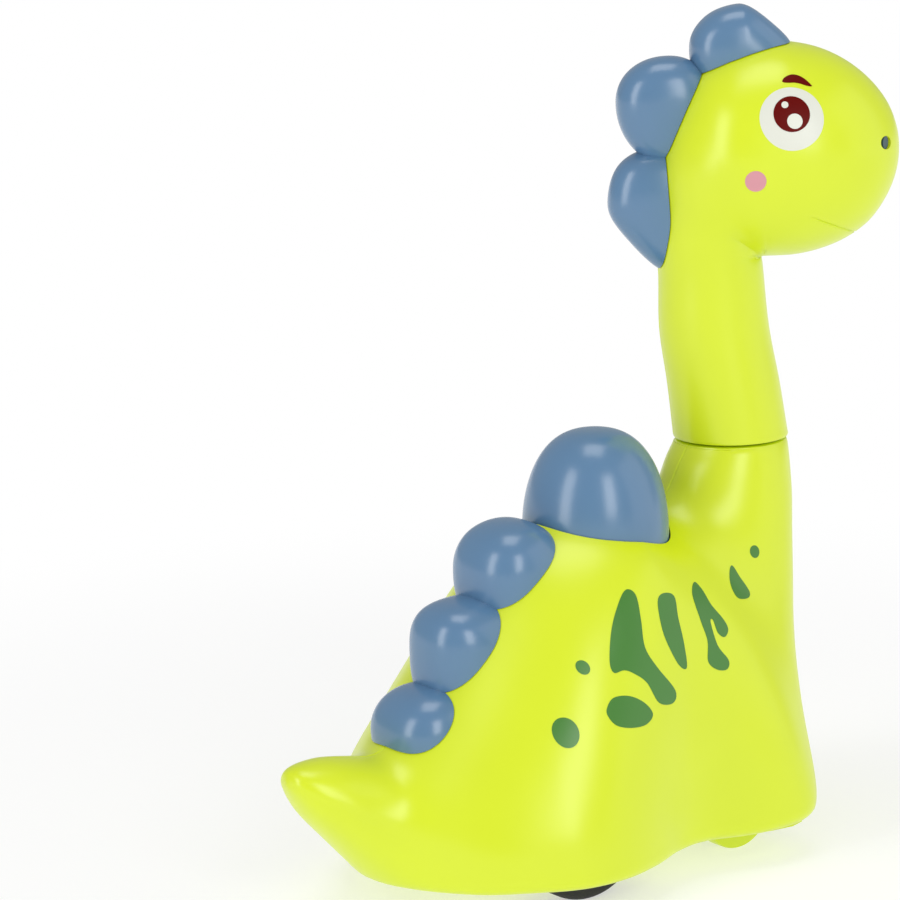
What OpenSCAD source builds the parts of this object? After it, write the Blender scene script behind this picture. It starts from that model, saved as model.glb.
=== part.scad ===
// Press-and-go toy dinosaur on wheels, with a turning head and a press button on its back.
// The nose points along +X, its left side is +Y, and the wheels stand on z = 0. All sizes in mm.

/* [Pose] */
// How far the head is turned about the neck, in degrees
head_turn = -30; // [-180:1:180]

/* [Casing] */
// Height of the base plate's underside above the floor
base_z = 5.9; // [4:0.1:8]
// Wall thickness of the moulded shells
wall = 2.2; // [1.6:0.1:3]
// Distance of the neck joint's axis in front of the middle
neck_x = 41.6; // [40:0.1:43]
// Height of the neck joint
neck_z = 85.5; // [80:0.5:92]
// Radius of the body at the neck joint
neck_r = 12.1; // [11.5:0.1:13]
// Height of the back behind the button
back_z = 76.2; // [74:0.1:80]
// Middle of the saddle in front of the button
saddle_x = 12.2; // [11:0.1:13]
// Height of that saddle
saddle_z = 73; // [71:0.1:75]
// Half width over the hind legs
rear_half = 38; // [36:0.1:41]
// Half width at the waist
waist_half = 29.8; // [29:0.1:32]
// Half width over the front legs
front_half = 33.4; // [32:0.1:36]
// Tip of the tail behind the middle
tail_x = -76; // [-80:0.1:-74]
// Height of the tail's tip
tail_z = 30.7; // [28:0.1:33]
// Half width of the arch between the front legs
arch_half = 20.5; // [16:0.5:22]
// Height of that arch above the base
arch_rise = 23; // [18:0.5:26]
// Rim of the shells around the base plate
plate_rim = 3.2; // [3:0.1:4]
// Height of the base plate above the lowest line of the shells' sections, flush with their rim
plate_lift = 1.2; // [0.8:0.1:1.4]
// Radius of the small hole under the tail
tail_hole_r = 1.05; // [0.9:0.05:1.2]
// Radius of the pegs that hold the crests
peg_r = 1.5; // [1.2:0.1:1.8]

/* [Head] */
// Height of the top of the head
head_top = 171; // [168:0.5:176]
// Height of the throat crease
throat_z = 124.4; // [122:0.1:127]
// Throat crease in front of the neck's axis
throat_x = 7.1; // [6.8:0.1:7.4]
// Reach of the snout from the neck's axis
snout = 36.7; // [34:0.1:40]
// Half width of the head
head_half = 20.4; // [19:0.1:22]
// Gap at the neck joint
neck_gap = 0.5; // [0.3:0.1:0.8]
// Radius of the neck's bearing
bearing_r = 8; // [7:0.1:8.5]
// Thickness of the body's bearing ring
bearing_h = 4; // [3:0.1:5]
// Thickness of the head's floor above the joint
collar_h = 3; // [2.4:0.1:4]
// Height of the nostrils
nostril_z = 149.6; // [147:0.1:151]
// Angle of each nostril from straight ahead
nostril_way = 35.5; // [30:0.5:38]
// Radius of a nostril
nostril_r = 1.4; // [1:0.1:1.6]

/* [Button] */
// Button's axis in front of the middle
button_x = 4.1; // [3:0.1:5]
// Radius of the button
button_r = 15.5; // [14.5:0.1:16]
// Height of the button's top
button_top = 92.6; // [90:0.1:96]
// Travel of the button
stroke = 10; // [8:0.5:10]
// Wall of the button
button_wall = 2; // [1.6:0.1:2.2]
// Half width of the rack that hangs from the button
bar_half = 4; // [3.4:0.1:4.2]
// Radius of the return spring's coil
spring_r = 8.2; // [7.8:0.1:8.6]
// Radius of the spring's wire
wire_r = 0.6; // [0.4:0.05:0.7]
// Turns of the spring
spring_turns = 6; // [5:1:7]

/* [Wheels and gears] */
// Radius of a rear tyre
rear_r = 15.6; // [15:0.1:16]
// Rear axle in front of the middle
rear_x = -17.8; // [-19:0.1:-17]
// Distance of a rear wheel's middle from the centre plane
rear_track = 21; // [20:0.1:22]
// Width of a rear tyre
tyre_w = 7; // [6:0.1:7.5]
// Radius of a rear wheel's hub
hub_r = 11.6; // [10.5:0.1:12.5]
// Radius of the front roller's discs
front_r = 8.9; // [8.6:0.1:9]
// Front roller in front of the middle
front_x = 27.8; // [27.4:0.1:28.2]
// Distance of a roller disc's middle from the centre plane
front_track = 15.6; // [15:0.1:17]
// Width of a roller disc
disc_w = 4.2; // [3.6:0.1:4.4]
// Radius of the roller's shaft
roller_axle_r = 3; // [2.6:0.1:3.2]
// Module of the gear teeth
gear_m = 1; // [0.95:0.01:1.02]
// Radius of the rear axle
axle_r = 1.5; // [1.2:0.1:2]
// Radius of the two gear spindles
spindle_r = 1.2; // [1:0.1:1.5]
// Height of the clutch gear's spindle
clutch_z = 33; // [32.5:0.1:33.5]
// Inner face of a gear frame from the centre plane
frame_y = 10; // [9.8:0.1:10.5]
// Thickness of a gear frame
frame_t = 2; // [1.6:0.1:2.4]

/* [Fits] */
// Radial clearance of a turning fit
run_fit = 0.05; // [0.02:0.01:0.1]
// Gap around the button, the base plate and the roller's discs
free_gap = 0.3; // [0.25:0.05:0.5]
// Clearance between pieces that are joined
seat_gap = 0.04; // [0.02:0.01:0.1]

/* [Hidden] */
$fn = 64;
body_steps = 2;
half_sides = 16;

function lerp(a, b, t) = a + (b - a) * t;

// One station of a loft: pivot x and z, angle of the section, near and far reach, half width,
// reach of the widest place, and the two superellipse powers.
function upright(x, top, bottom, half, wide, np, fp) =
    [x, neck_z, -90, neck_z - top, neck_z - bottom, half, neck_z - wide, np, fp];
function fan(turn, near, far, half, wide, np, fp) =
    [saddle_x, neck_z, turn - 90, near, far, half, wide, np, fp];

floor_r = neck_z - base_z;
flank_z = base_z + 7.7;
// Heights on the back, from its top down to the tail's tip
back_h = back_z - tail_z;
function on_back(down) = back_z - down * back_h;
body_stations = [
    upright(tail_x, tail_z + 0.5, tail_z - 0.5, 0.5, tail_z, 2, 2),
    upright(tail_x + 1, tail_z + 2.5, tail_z - 2.6, 3.6, tail_z - 0.4, 2, 2),
    upright(tail_x + 4.2, tail_z + 3.5, tail_z - 7.9, 6.6, tail_z - 2.6, 2, 2),
    upright(tail_x + 10.2, tail_z + 3.6, tail_z - 14.4, 9.6, tail_z - 6.2, 2, 2),
    upright(tail_x + 18.6, tail_z + 2.3, base_z + 1.6, 12.6, tail_z - 11.2, 2, 2),
    upright(saddle_x - 65.2, tail_z + 1.8, base_z, 18, flank_z + 2, 1.9, 6),
    upright(saddle_x - 58, on_back(0.829), base_z, 0.7 * rear_half, flank_z + 1, 1.7, 6),
    upright(saddle_x - 50, on_back(0.609), base_z, 0.85 * rear_half, flank_z + 0.5, 1.6, 6.5),
    upright(saddle_x - 40, on_back(0.312), base_z, 0.975 * rear_half, flank_z, 1.55, 7),
    upright(saddle_x - 30, on_back(0.07), base_z, rear_half, flank_z, 1.7, 6.5),
    upright(saddle_x - 20, back_z, base_z, 0.93 * rear_half, flank_z, 2.1, 6),
    upright(saddle_x - 10, lerp(saddle_z, back_z, 0.4), base_z, 1.03 * waist_half, flank_z, 3.2, 5.5),
    fan(0, neck_z - saddle_z, floor_r, waist_half, neck_z - flank_z, 2.8, 5),
    fan(10, 12.8, floor_r / cos(10), front_half, 73, 2.3, 5),
    fan(17, 13, floor_r / cos(17), front_half, 72, 2, 4.5),
    fan(21.8, 13.2, floor_r / cos(21.8) - 1, 0.88 * front_half, 68, 2, 3.4),
    fan(26, 13.5, 75, 0.76 * front_half, 60, 2.05, 2.8),
    fan(34, 14, 62.4, 20.2, 49, 2, 2.4),
    fan(46, 14.8, 53.8, 16.6, 41, 1.95, 2.2),
    fan(60, 15.8, 47, 14.4, 34, 2, 2),
    fan(76, 16.7, 42.8, 13, 30.5, 2, 2),
    fan(90, neck_x - saddle_x - neck_r, neck_x - saddle_x + neck_r, neck_r, neck_x - saddle_x, 2, 2)
];

// Head sections: upright ones from the snout back, a fan about the throat, level ones down the neck.
function face_on(x, bottom, top, half) =
    [x, bottom, 90, 0, top - bottom, half, (top - bottom) * 0.5, 2, 2];
function turned(turn, far, half, wide) =
    [throat_x, throat_z, turn, 0.5, far, half, wide * far, 2, 2];
function level(z, front, rear, half) =
    [front, z, 180, 0, front - rear, half, (front - rear) * 0.5, 2, 2];

// Heights on the head, from its top down to the throat
head_h = head_top - throat_z;
function on_head(down) = head_top - down * head_h;
collar_z = neck_z + neck_gap;
collar_r = neck_r + 0.3;
head_stations = [
    face_on(snout, on_head(0.502), on_head(0.489), 0.4),
    face_on(snout - 0.7, on_head(0.612), on_head(0.395), 5.2),
    face_on(snout - 2.7, on_head(0.725), on_head(0.288), 0.48 * head_half),
    face_on(snout - 6.7, on_head(0.845), on_head(0.18), 0.7 * head_half),
    face_on(snout - 11.7, on_head(0.918), on_head(0.097), 0.86 * head_half),
    face_on(snout - 17.2, on_head(0.964), on_head(0.041), 0.955 * head_half),
    face_on(snout - 23, on_head(0.987), on_head(0.013), head_half),
    turned(90, head_h, 0.99 * head_half, 0.5),
    turned(107, 0.923 * head_h, 0.95 * head_half, 0.52),
    turned(121, 0.79 * head_h, 0.85 * head_half, 0.53),
    turned(135, 0.663 * head_h, 0.74 * head_half, 0.54),
    turned(155, 0.528 * head_h, 0.63 * head_half, 0.53),
    level(throat_z - 0.6, throat_x, -15.3, 11.8),
    level(lerp(collar_z, throat_z, 0.625), 8.4, -15.2, 11.75),
    level(lerp(collar_z, throat_z, 0.3125), 10.6, -13.6, 12.1),
    level(collar_z, collar_r, -collar_r, collar_r)
];

// A smooth run of stations through the given ones
function smooth4(a, b, c, d, t) =
    0.5 * (2 * b + (c - a) * t + (2 * a - 5 * b + 4 * c - d) * t * t + (3 * b - a - 3 * c + d) * t * t * t);
function refine(st, steps) = [
    for (k = [0 : len(st) - 2])
        for (j = [0 : steps - 1])
            smooth4(st[max(k - 1, 0)], st[k], st[k + 1], st[min(k + 2, len(st) - 1)], j / steps),
    st[len(st) - 1]
];

// Point i of half a section, drawn in by a wall; i = 0 is the far end and i = half_sides the near end
function section_point(s, i, inset) =
    let (
        a = 180 * i / half_sides,
        far_side = i <= half_sides / 2,
        p = far_side ? s[8] : s[7],
        c = pow(abs(cos(a)), 2 / p),
        w = pow(abs(sin(a)), 2 / p),
        reach = far_side ? s[4] - inset - s[6] : s[3] + inset - s[6],
        r = s[6] + reach * c,
        y = i == 0 || i == half_sides ? 0 : (s[5] - inset) * w
    )
    [s[0] + r * cos(s[2]), y, s[1] + r * sin(s[2])];

function half_section(s, inset) = [for (i = [0 : half_sides]) section_point(s, i, inset)];

// Left half of a closed loft, flat on y = 0
module half_solid(st, inset) {
    n = half_sides + 1;
    last = len(st) - 1;
    points = [for (s = st) each half_section(s, inset)];
    faces = concat(
        [for (k = [0 : last - 1]) for (i = [0 : half_sides - 1])
            [k * n + i, (k + 1) * n + i, (k + 1) * n + i + 1, k * n + i + 1]],
        [[for (i = [0 : half_sides]) i]],
        [[for (i = [half_sides : -1 : 0]) last * n + i]],
        [for (k = [0 : last - 1])
            [k * n, k * n + half_sides, (k + 1) * n + half_sides, (k + 1) * n]]
    );
    polyhedron(points, faces);
}

// A whole closed loft, both sides in one
module full_solid(st, inset) {
    n = 2 * half_sides;
    last = len(st) - 1;
    points = [for (s = st) each [for (i = [0 : n - 1])
        let (p = section_point(s, min(i, n - i), inset)) [p[0], i > half_sides ? -p[1] : p[1], p[2]]]];
    faces = concat(
        [for (k = [0 : last - 1]) for (i = [0 : n - 1])
            [k * n + i, (k + 1) * n + i, (k + 1) * n + (i + 1) % n, k * n + (i + 1) % n]],
        [[for (i = [0 : n - 1]) i]],
        [[for (i = [n - 1 : -1 : 0]) last * n + i]]
    );
    polyhedron(points, faces);
}

// Left half of a hollow loft: solid up to ring first, then a wall, open at the last ring
module half_shell(st, first) {
    n = half_sides + 1;
    last = len(st) - 1;
    shift = len(st) * n - first * n;
    rings = [for (k = [first : last - 1]) k];
    sides = [for (i = [0 : half_sides - 1]) i];
    points = concat(
        [for (s = st) each half_section(s, 0)],
        [for (k = [first : last]) each half_section(st[k], wall)]
    );
    faces = concat(
        [for (k = [0 : last - 1]) for (i = sides)
            [k * n + i, (k + 1) * n + i, (k + 1) * n + i + 1, k * n + i + 1]],
        [for (k = rings) for (i = sides)
            [shift + k * n + i, shift + k * n + i + 1, shift + (k + 1) * n + i + 1, shift + (k + 1) * n + i]],
        [[for (i = [0 : half_sides]) i]],
        [[for (i = [half_sides : -1 : 0]) shift + first * n + i]],
        [for (i = sides)
            [last * n + i + 1, last * n + i, shift + last * n + i, shift + last * n + i + 1]],
        [for (k = [0 : first - 2]) [k * n, k * n + half_sides, (k + 1) * n + half_sides, (k + 1) * n]],
        [[(first - 1) * n, first * n - 1, (first + 1) * n - 1,
            shift + (first + 1) * n - 1, shift + first * n, first * n]],
        [for (k = rings) [k * n, shift + k * n, shift + (k + 1) * n, (k + 1) * n]],
        [for (k = rings)
            [(k + 1) * n - 1, (k + 2) * n - 1, shift + (k + 2) * n - 1, shift + (k + 1) * n - 1]]
    );
    polyhedron(points, faces);
}

body_rings = refine(body_stations, body_steps);
head_rings = refine(head_stations, body_steps);
solid_tail = 5;
solid_snout = 4;

// Base outline: where each section meets the base, drawn in by a rim and rounded at the tail
plate_rear = saddle_x - 65.5;
plate_front = saddle_x + 25.8;
plate_t = wall;
plate_z = base_z + plate_lift;
plate_top = plate_z + plate_t;
function foot_x(s) = s[0] - floor_r / tan(s[2]);
function tail_half(x) = 4.6 * pow(max(x - plate_rear, 0), 0.6);
function edge_half(s) = min(s[5] - plate_rim, tail_half(foot_x(s)));
plate_edge = concat(
    [for (d = [0, 0.3, 1.2, 2.8, 5]) [plate_rear + d, tail_half(plate_rear + d)]],
    [for (s = body_rings)
        if (foot_x(s) > plate_rear + 6.5 && foot_x(s) < plate_front - 3 && s[2] < -60)
            [foot_x(s), edge_half(s)]],
    [[plate_front - 2.5, front_half - plate_rim - 0.8], [plate_front, front_half - plate_rim - 4]]
);

module plate_outline(grow) {
    side = [for (p = plate_edge)
        [p[0] + grow * (p[0] < plate_rear + 1 ? -1 : p[0] > plate_front - 1 ? 1 : 0), p[1] + grow]];
    polygon(concat(side, [for (i = [len(side) - 1 : -1 : 0]) [side[i][0], -side[i][1]]]));
}

// Gear train: places in the x-z plane, radii and starting angles
teeth_small = 10;
teeth_clutch = 30;
teeth_middle = 24;
press_angle = 28;
backlash = 0.12;
function pitch_r(n) = n * gear_m / 2;
pitch_x = button_x - 2.5;
clutch_at = [pitch_x - pitch_r(teeth_small), clutch_z];
axle_at = [rear_x, rear_r];
axle_span = norm(clutch_at - axle_at);
arm_axle = pitch_r(teeth_middle) + pitch_r(teeth_small);
arm_clutch = pitch_r(teeth_clutch) + pitch_r(teeth_small);
along = (arm_axle * arm_axle - arm_clutch * arm_clutch + axle_span * axle_span) / (2 * axle_span);
across = sqrt(arm_axle * arm_axle - along * along);
axle_dir = (clutch_at - axle_at) / axle_span;
middle_at = axle_at + along * axle_dir + across * [-axle_dir[1], axle_dir[0]];
function bearing(a, b) = atan2(b[1] - a[1], b[0] - a[0]);
function mesh_turn(a, b, turn, n, m) =
    let (way = bearing(a, b)) way + 180 + ((way - turn) * n / 360 - 0.5) * 360 / m;
clutch_turn = 0;
middle_small_turn = mesh_turn(clutch_at, middle_at, clutch_turn, teeth_clutch, teeth_small);
axle_turn = 0;
middle_big_turn = mesh_turn(axle_at, middle_at, axle_turn, teeth_small, teeth_middle);

function roll(a) = tan(a) * 180 / PI - a;
function tooth_half(n, r) =
    let (p = pitch_r(n), b = p * cos(press_angle))
    90 / n - backlash * 90 / (PI * p) + roll(press_angle) - roll(acos(min(1, b / max(r, b))));

// A spur gear's outline: involute flanks in a few steps
module gear_outline(n) {
    p = pitch_r(n);
    tip = p + 0.8 * gear_m;
    root = p - 1.05 * gear_m;
    steps = [for (j = [0 : 4]) lerp(max(root, p * cos(press_angle)), tip, j / 4)];
    radii = root < steps[0] ? concat([root], steps) : steps;
    polygon([for (k = [0 : n - 1]) each concat(
        [for (r = radii) let (a = 360 * k / n - tooth_half(n, r)) r * [cos(a), sin(a)]],
        [for (j = [len(radii) - 1 : -1 : 0])
            let (r = radii[j], a = 360 * k / n + tooth_half(n, r)) r * [cos(a), sin(a)]]
    )]);
}

// Stands a shape drawn in x and z so that it runs from y0 to y1
module on_side(at, y0, y1) {
    translate([at[0], y1, at[1]]) rotate([90, 0, 0]) linear_extrude(y1 - y0) children();
}
module rod(at, r, y0, y1) {
    translate([at[0], y1, at[1]]) rotate([90, 0, 0]) cylinder(r = r, h = y1 - y0);
}
module gear(at, n, turn, y0, y1) {
    on_side(at, y0, y1) rotate(turn) gear_outline(n);
}

// Casing
arch_lean = 0.268;
arch_foot = plate_front + wall + 0.7;
module arch_prism(grow, depth, length) {
    translate([arch_foot - depth, 0, base_z])
        rotate([0, atan(arch_lean), 0])
            rotate([90, 0, 90])
                linear_extrude(length)
                    polygon(concat(
                        [[arch_half + grow, -4]],
                        [for (a = [0 : 10 : 180]) [(arch_half + grow) * cos(a), (arch_rise + grow) * sin(a)]],
                        [[-arch_half - grow, -4]]
                    ));
}

button_hole_r = button_r + free_gap;
// Pegs of a crest stand on its shell's sections, at the near or far end of each
module on_section(s, end) {
    translate(section_point(s, end, 0)) rotate([0, (end == 0 ? 90 : 270) - s[2], 0]) children();
}
peg_in = 5;
peg_out = 3;
crest_pegs = [body_rings[12], body_rings[17]];

module body_half() {
    difference() {
        union() {
            half_shell(body_rings, solid_tail);
            intersection() {
                half_solid([for (k = [24 : 40]) body_rings[k]], 0.5);
                arch_prism(wall, wall, 12);
            }
            intersection() {
                translate([neck_x, 0, neck_z - bearing_h]) cylinder(r = neck_r - 0.8, h = bearing_h);
                translate([0, 0, neck_z - 10]) cube([100, 40, 20]);
            }
        }
        arch_prism(0, 0, 20);
        translate([0, 0, base_z - 1]) linear_extrude(plate_top - base_z + 2.5) plate_outline(free_gap);
        translate([button_x, 0, 50]) cylinder(r = button_hole_r, h = 40);
        translate([neck_x, 0, neck_z - 10]) cylinder(r = bearing_r + run_fit, h = 20);
        for (s = crest_pegs) on_section(s, half_sides)
            translate([0, 0, -2 * peg_in]) cylinder(r = peg_r + seat_gap, h = 3 * peg_in);
    }
}
module body_shell_left() { color("YellowGreen") body_half(); }
module body_shell_right() { color("YellowGreen") mirror([0, 1, 0]) body_half(); }

// One petal of a crest, flat-sided with a round rim: its middle, its reach forward, back, up and down,
// its half thickness, and the superellipse power of each quarter of its outline, from the front top round
lobe_sides = 24;
lobe_rows = 6;
rim_power = 2.4;
function bowed(t, power) = sign(t) * pow(abs(t), 2 / power);
module lobe(at, reach, half, full) {
    n = lobe_sides;
    rows = [for (j = [-lobe_rows + 1 : lobe_rows - 1]) 90 * j / lobe_rows];
    points = concat(
        [[at[0], -half, at[1]]],
        [for (a = rows) for (i = [0 : n - 1])
            let (
                c = cos(360 * i / n),
                s = sin(360 * i / n),
                power = full[floor(4 * i / n)],
                shrink = bowed(cos(a), rim_power)
            )
            [at[0] + reach[c > 0 ? 0 : 1] * bowed(c, power) * shrink, half * bowed(sin(a), rim_power),
                at[1] + reach[s > 0 ? 2 : 3] * bowed(s, power) * shrink]],
        [[at[0], half, at[1]]]
    );
    top = len(points) - 1;
    bands = len(rows) - 1;
    faces = concat(
        [for (i = [0 : n - 1]) [0, 1 + (i + 1) % n, 1 + i]],
        [for (j = [0 : bands - 1]) for (i = [0 : n - 1])
            [1 + j * n + i, 1 + j * n + (i + 1) % n, 1 + (j + 1) * n + (i + 1) % n, 1 + (j + 1) * n + i]],
        [for (i = [0 : n - 1]) [top, 1 + bands * n + i, 1 + bands * n + (i + 1) % n]]
    );
    polyhedron(points, faces);
}

// Low web that joins a crest's petals, along the near or far end of a run of sections
web_h = 0.9;
web_half = 2;
module web(st, end) {
    out = end == 0 ? 1 : -1;
    last = len(st) - 1;
    points = [for (s = st) each let (p = section_point(s, end, 0), d = out * web_h * [cos(s[2]), sin(s[2])])
        [for (c = [[1, 1], [1, -1], [-1, -1], [-1, 1]])
            [p[0] + c[0] * d[0], c[1] * web_half, p[2] + c[0] * d[1]]]];
    faces = concat(
        [for (k = [0 : last - 1]) for (i = [0 : 3])
            [4 * k + i, 4 * k + 4 + i, 4 * k + 4 + (i + 1) % 4, 4 * k + (i + 1) % 4]],
        [[0, 1, 2, 3], [4 * last + 3, 4 * last + 2, 4 * last + 1, 4 * last]]
    );
    polyhedron(points, faces);
}

module back_crest() {
    half = 0.303 * rear_half;
    color("SteelBlue") {
        difference() {
            union() {
                lobe([saddle_x - 30.8, on_back(0.233)], back_h * [0.264, 0.246, 0.242, 0.308], half,
                    [1.8, 2.2, 2.4, 2]);
                lobe([saddle_x - 40.9, on_back(0.549)], back_h * [0.251, 0.292, 0.235, 0.33], 0.95 * half,
                    [1.9, 2.9, 2.9, 2]);
                lobe([saddle_x - 52.7, on_back(0.89)], back_h * [0.264, 0.248, 0.209, 0.235], half,
                    [1.9, 2.1, 2.2, 2]);
                web([for (k = [12 : 18]) body_rings[k]], half_sides);
            }
            full_solid([for (k = [6 : 24]) body_rings[k]], -seat_gap);
        }
        for (s = crest_pegs) on_section(s, half_sides)
            translate([0, 0, -peg_in]) cylinder(r = peg_r, h = peg_in + peg_out);
    }
}

// Block about its middle, with rounded upright edges
module slot_block(l, w, h, r) {
    cube([l - 2 * r, w, h], center = true);
    cube([l, w - 2 * r, h], center = true);
    for (x = [-1, 1]) for (y = [-1, 1])
        translate([x * (l / 2 - r), y * (w / 2 - r), 0]) cylinder(r = r, h = h, center = true);
}

// Base plate with wheel slots, roller clips and the small hole near the tail
slot_corner = 1.2;
clip_top = front_r + 5;
rear_slot_l = 2 * (sqrt(rear_r * rear_r - pow(rear_r - plate_top, 2)) + free_gap + 0.2);
rear_slot_in = rear_track - tyre_w / 2 - 1;
rear_slot_w = tyre_w + 3;
front_slot_l = 2 * (front_r + free_gap + 0.15);
tail_hole_x = plate_rear + 3.9;
clip_y = 7;
frame_feet = [axle_at[0] - 6, clutch_at[0] + 5];

module base_plate() {
    color("YellowGreen") difference() {
        union() {
            translate([0, 0, plate_z]) linear_extrude(plate_t) plate_outline(0);
            for (s = [-1, 1]) translate([front_x - 5.5, s * clip_y - 2, plate_z])
                cube([11, 4, clip_top - plate_z]);
            for (x = frame_feet) for (s = [-1, 1])
                translate([x, s * (frame_y + frame_t / 2) - 2.6, plate_z]) cube([4, 5.2, plate_t + 3]);
            translate([tail_hole_x, 0, plate_z]) cylinder(r = 3, h = plate_t + 4);
        }
        for (s = [-1, 1]) {
            translate([rear_x, s * (rear_slot_in + rear_slot_w / 2), plate_z])
                slot_block(rear_slot_l, rear_slot_w, 3 * plate_t, slot_corner);
            translate([front_x - front_slot_l / 2, s * front_track - disc_w / 2 - free_gap, plate_z - 1])
                cube([front_slot_l, disc_w + 2 * free_gap, 12]);
            translate([front_x - roller_axle_r - free_gap, s * (front_track + 3.8) - 2.2, plate_z - 1])
                cube([2 * (roller_axle_r + free_gap), 4.4, 12]);
        }
        translate([front_x - roller_axle_r - 0.2, -front_track, plate_z - 1])
            cube([2 * roller_axle_r + 0.4, 2 * front_track, front_r - plate_z + 1]);
        rod([front_x, front_r], roller_axle_r + run_fit, -front_track, front_track);
        for (x = frame_feet) for (s = [-1, 1])
            translate([x - 1, s * (frame_y + frame_t / 2) - frame_t / 2 - seat_gap, plate_top])
                cube([6, frame_t + 2 * seat_gap, 8]);
        translate([tail_hole_x, 0, plate_z - 1]) cylinder(r = tail_hole_r, h = 12);
    }
}

// Gear frames, bridge and spindles
bridge_z = clutch_at[1] + pitch_r(teeth_clutch) + 3;
bridge_t = 3;
bridge_r = button_r - button_wall - 1;
module frame_side(y0) {
    difference() {
        on_side([0, 0], y0, y0 + frame_t)
            polygon([[axle_at[0] - 8, plate_top + seat_gap], [clutch_at[0] + 10, plate_top + seat_gap],
                [button_x + 11, bridge_z - seat_gap], [button_x - 11, bridge_z - seat_gap],
                [middle_at[0] - 5, middle_at[1] + 8], [middle_at[0] - 5, middle_at[1] - 8]]);
        rod(axle_at, axle_r + run_fit, y0 - 1, y0 + frame_t + 1);
        rod(middle_at, spindle_r, y0 - 1, y0 + frame_t + 1);
        rod(clutch_at, spindle_r, y0 - 1, y0 + frame_t + 1);
    }
}
module gear_frame_left() { color("WhiteSmoke") frame_side(frame_y); }
module gear_frame_right() { color("WhiteSmoke") frame_side(-frame_y - frame_t); }
module clutch_spindle() { color("Silver") rod(clutch_at, spindle_r, -frame_y - frame_t, frame_y + frame_t); }
module middle_spindle() { color("Silver") rod(middle_at, spindle_r, -frame_y - frame_t, frame_y + frame_t); }

bar_front = button_x + 4;
bar_rear = pitch_x - 0.8 * gear_m;
module guide_bridge() {
    color("WhiteSmoke") difference() {
        translate([button_x, 0, bridge_z]) cylinder(r = bridge_r, h = bridge_t);
        translate([bar_rear - free_gap, -bar_half - free_gap, bridge_z - 1])
            cube([bar_front - bar_rear + 2 * free_gap, 2 * (bar_half + free_gap), bridge_t + 2]);
    }
}

// Press button: a hollow dome with a spring seat, the rack that hangs from it and its spring
button_skirt = bridge_z + bridge_t + stroke + 1;
button_shoulder = button_top - 21.6;
spring_seat = button_top - 12.6;
stud_r = 2.5;
module dome(r, top) {
    rotate_extrude() polygon(concat(
        [[0, button_skirt], [r, button_skirt]],
        [for (a = [0 : 6 : 90]) [r * pow(cos(a), 0.77), lerp(button_shoulder, top, sin(a))]]
    ));
}
module press_button() {
    color("SteelBlue") translate([button_x, 0, 0]) difference() {
        union() {
            difference() {
                dome(button_r, button_top);
                translate([0, 0, -0.01]) dome(button_r - button_wall, button_top - button_wall);
            }
            intersection() {
                dome(button_r - 0.5, button_top - 0.5);
                union() {
                    translate([0, 0, spring_seat]) cylinder(r = button_r, h = 2);
                    translate([0, 0, spring_seat - 8]) cylinder(r = 5.5, h = 20);
                }
            }
        }
        translate([0, 0, spring_seat - 9]) cylinder(r = stud_r + seat_gap, h = 9);
    }
}

rack_low = clutch_at[1] - 4.5;
rack_high = clutch_at[1] + stroke + 4.5;
tooth_pitch = PI * gear_m;
rack_side = tan(press_angle);
module rack_tooth() {
    out = 0.8 * gear_m;
    in = 1.05 * gear_m;
    half = tooth_pitch / 4 - backlash / 2;
    polygon([[in, half + in * rack_side], [-out, half - out * rack_side],
        [-out, -half + out * rack_side], [in, -half - in * rack_side]]);
}
module button_plunger() {
    color("WhiteSmoke") {
        translate([pitch_x + 1.04 * gear_m, -bar_half, rack_low])
            cube([bar_front - pitch_x - 1.04 * gear_m, 2 * bar_half, spring_seat - 8 - seat_gap - rack_low]);
        translate([bar_rear, -bar_half, rack_high + 0.5])
            cube([bar_front - bar_rear, 2 * bar_half, spring_seat - 8 - seat_gap - rack_high - 0.5]);
        translate([button_x, 0, spring_seat - 10]) cylinder(r = stud_r, h = 9.5);
        translate([bar_rear + 2, -bar_half - 3, bridge_z - 2.3]) cube([5, 4, 2]);
        for (k = [-1 : 5])
            on_side([pitch_x, clutch_at[1] + (k + 0.5) * tooth_pitch], -bar_half, bar_half) rack_tooth();
    }
}

spring_low = bridge_z + bridge_t + wire_r + 0.05;
spring_high = spring_seat - wire_r - 0.05;
function spring_point(j) =
    let (a = 45 * j, t = j / (8 * spring_turns))
    [button_x + spring_r * cos(a), spring_r * sin(a), lerp(spring_low, spring_high, t)];
spring_gap = (spring_high - spring_low) / spring_turns - 2 * wire_r;
echo(least_gap_between_spring_turns = spring_gap);
module return_spring() {
    count = 8 * spring_turns;
    points = [for (j = [0 : count]) for (i = [0 : 5])
        let (a = 45 * j, c = spring_point(j), b = 60 * i)
        c + wire_r * [cos(b) * cos(a), cos(b) * sin(a), sin(b)]];
    faces = concat(
        [for (j = [0 : count - 1]) for (i = [0 : 5]) each [
            [6 * j + i, 6 * j + (i + 1) % 6, 6 * j + 6 + i],
            [6 * j + (i + 1) % 6, 6 * j + 6 + (i + 1) % 6, 6 * j + 6 + i]]],
        [[for (i = [5 : -1 : 0]) i]],
        [[for (i = [0 : 5]) 6 * count + i]]
    );
    color("Silver") polyhedron(points, faces);
}

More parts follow.
